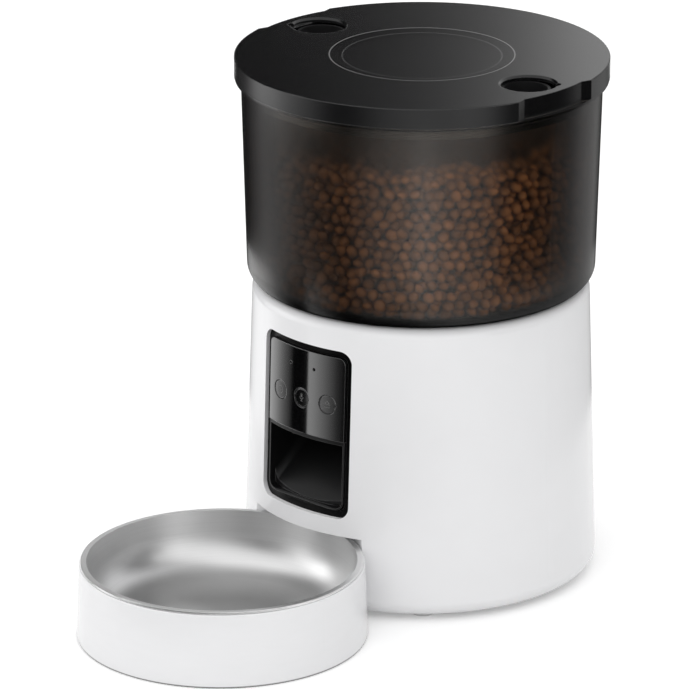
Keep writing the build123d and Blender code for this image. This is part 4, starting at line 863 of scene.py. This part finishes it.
def studio_ring(name, away, low, high, stops):
    """Upright ring of card round the feeder, as bright as its stops say along the turn."""
    verts, lights, turns = [], [], []
    for (turn, light), (next_turn, next_light) in zip(stops, stops[1:]):
        steps = max(1, round((next_turn - turn) / 4))
        for k in range(steps):
            share = k / steps
            turns.append((turn + (next_turn - turn) * share, light + (next_light - light) * share))
    turns.append(stops[-1])
    for turn, light in turns:
        verts.append(studio_point(turn, away, low))
        verts.append(studio_point(turn, away, high))
        lights.extend([light] * 2)
    faces = [(2 * k, 2 * k + 2, 2 * k + 3, 2 * k + 1) for k in range(len(turns) - 1)]
    add_card(name, verts, faces, lights)


def shoulder_flag():
    """Dark ring just over the housing's shoulder, so that the tank's corner doesn't mirror it."""
    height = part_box("hopper")[0].z + 0.0006
    verts, turns = [], 96
    for k in range(turns):
        turn = 2 * math.pi * k / turns
        for r in (0.0868, 0.0945):
            verts.append((r * math.cos(turn), FEEDER_Y + r * math.sin(turn), height))
    last = 2 * turns
    faces = [(2 * k, 2 * k + 1, (2 * k + 3) % last, (2 * k + 2) % last) for k in range(turns)]
    add_card("shoulder_flag", verts, faces, [0.03] * len(verts))


def lid_card():
    """Tall card behind the feeder, dark on its left, for the lid's broad sheen."""
    right = Vector((math.cos(VIEW_AZIMUTH), math.sin(VIEW_AZIMUTH), 0))
    steps = 60
    verts, lights = [], []
    for k in range(steps + 1):
        across = -0.80 + 1.1 * k / steps
        for height in (0.322, 1.0):
            verts.append(Vector(studio_point(180, 0.45, height)) + right * across)
            lights.append(min(1.0, 0.105 * math.exp(20.5 * across)))
    faces = [(2 * k, 2 * k + 2, 2 * k + 3, 2 * k + 1) for k in range(steps)]
    add_card("lid_card", verts, faces, lights)


def make_lamp(name, place, size, power):
    """Soft square lamp that looks at the middle of the feeder, unseen by gloss."""
    data = bpy.data.lights.new(name, "AREA")
    data.shape = "RECTANGLE"
    data.size, data.size_y = size
    data.energy = power
    lamp = bpy.data.objects.new(name, data)
    bpy.context.scene.collection.objects.link(lamp)
    lamp.location = place
    lamp.rotation_euler = (Vector(place) - Vector((0, 0, 0.12))).to_track_quat("Z", "Y").to_euler()
    lamp.visible_glossy = False
    return lamp


# each ring of card is a list of turns, in degrees from the lens's side, and how bright it is there
PANEL_RING = (
    (-180, 0.05), (-150, 0.1), (-138, 0.9), (-130, 1.3), (-111, 1.85), (-101, 1.15), (-96, 0.70),
    (-92, 0.42), (-87, 0.17), (-84, 0.0), (-71.6, 0.0), (-71.2, 1.35), (-67, 1.15), (-61.5, 0.78),
    (-55.5, 0.41),
    (-50.5, 0.14), (-46, 0.02), (-5, 0.02), (20, 0.8), (60, 0.7), (100, 0.5),
    (140, 0.5), (150, 0.1), (180, 0.05),
)
TANK_RING = (
    (-180, 0.02), (-138, 0.02), (-124, 0.18), (-112, 0.50), (-102, 0.62), (-89, 0.50), (-78, 0.26),
    (-65, 0.08), (-45, 0.04), (-38, 0.26), (-25, 0.58), (-11, 0.85), (-2, 1.4), (4, 1.4), (11, 0.95),
    (25, 0.66), (40, 0.40), (49, 0.06), (61, 0.02), (76, 0.02), (96, 0.20), (113, 0.45), (138, 0.40),
    (150, 0.05), (180, 0.02),
)
LID_RING = (
    (-180, 1.3), (-156, 1.1), (-151, 0.03), (-143, 0.04), (-126, 0.10), (-120, 0.32), (-112, 1.2),
    (-105, 1.85), (-93, 2.1), (-83, 1.47), (-73, 1.02), (-65, 0.72), (-56.5, 0.27), (-49, 0.06),
    (-41, 0.05), (-34, 0.13), (-27, 0.33), (-20, 0.56), (-7, 0.74), (11, 0.80), (25, 1.1),
    (34, 0.95), (43, 0.36), (50, 0.05), (60, 0.0), (92, 0.0), (103, 0.27), (117, 0.60), (138, 0.3),
    (150, 0.1), (156, 1.1), (180, 1.3),
)

make_stage()
studio_ring("panel_ring", 0.30, 0.001, 0.092, PANEL_RING)
studio_ring("tank_ring", 0.45, 0.001, 0.147, TANK_RING)
studio_ring("lid_ring", 0.45, 0.147, 0.32, LID_RING)
lid_card()
shoulder_flag()
make_lamp("key_lamp", (0.9, -1.8, 1.5), (1.6, 1.6), 11)
make_lamp("side_lamp", (-1.6, -0.6, 1.1), (1.2, 1.2), 4)
make_lamp("top_lamp", (0.1, 0.3, 2.0), (1.2, 1.2), 4)
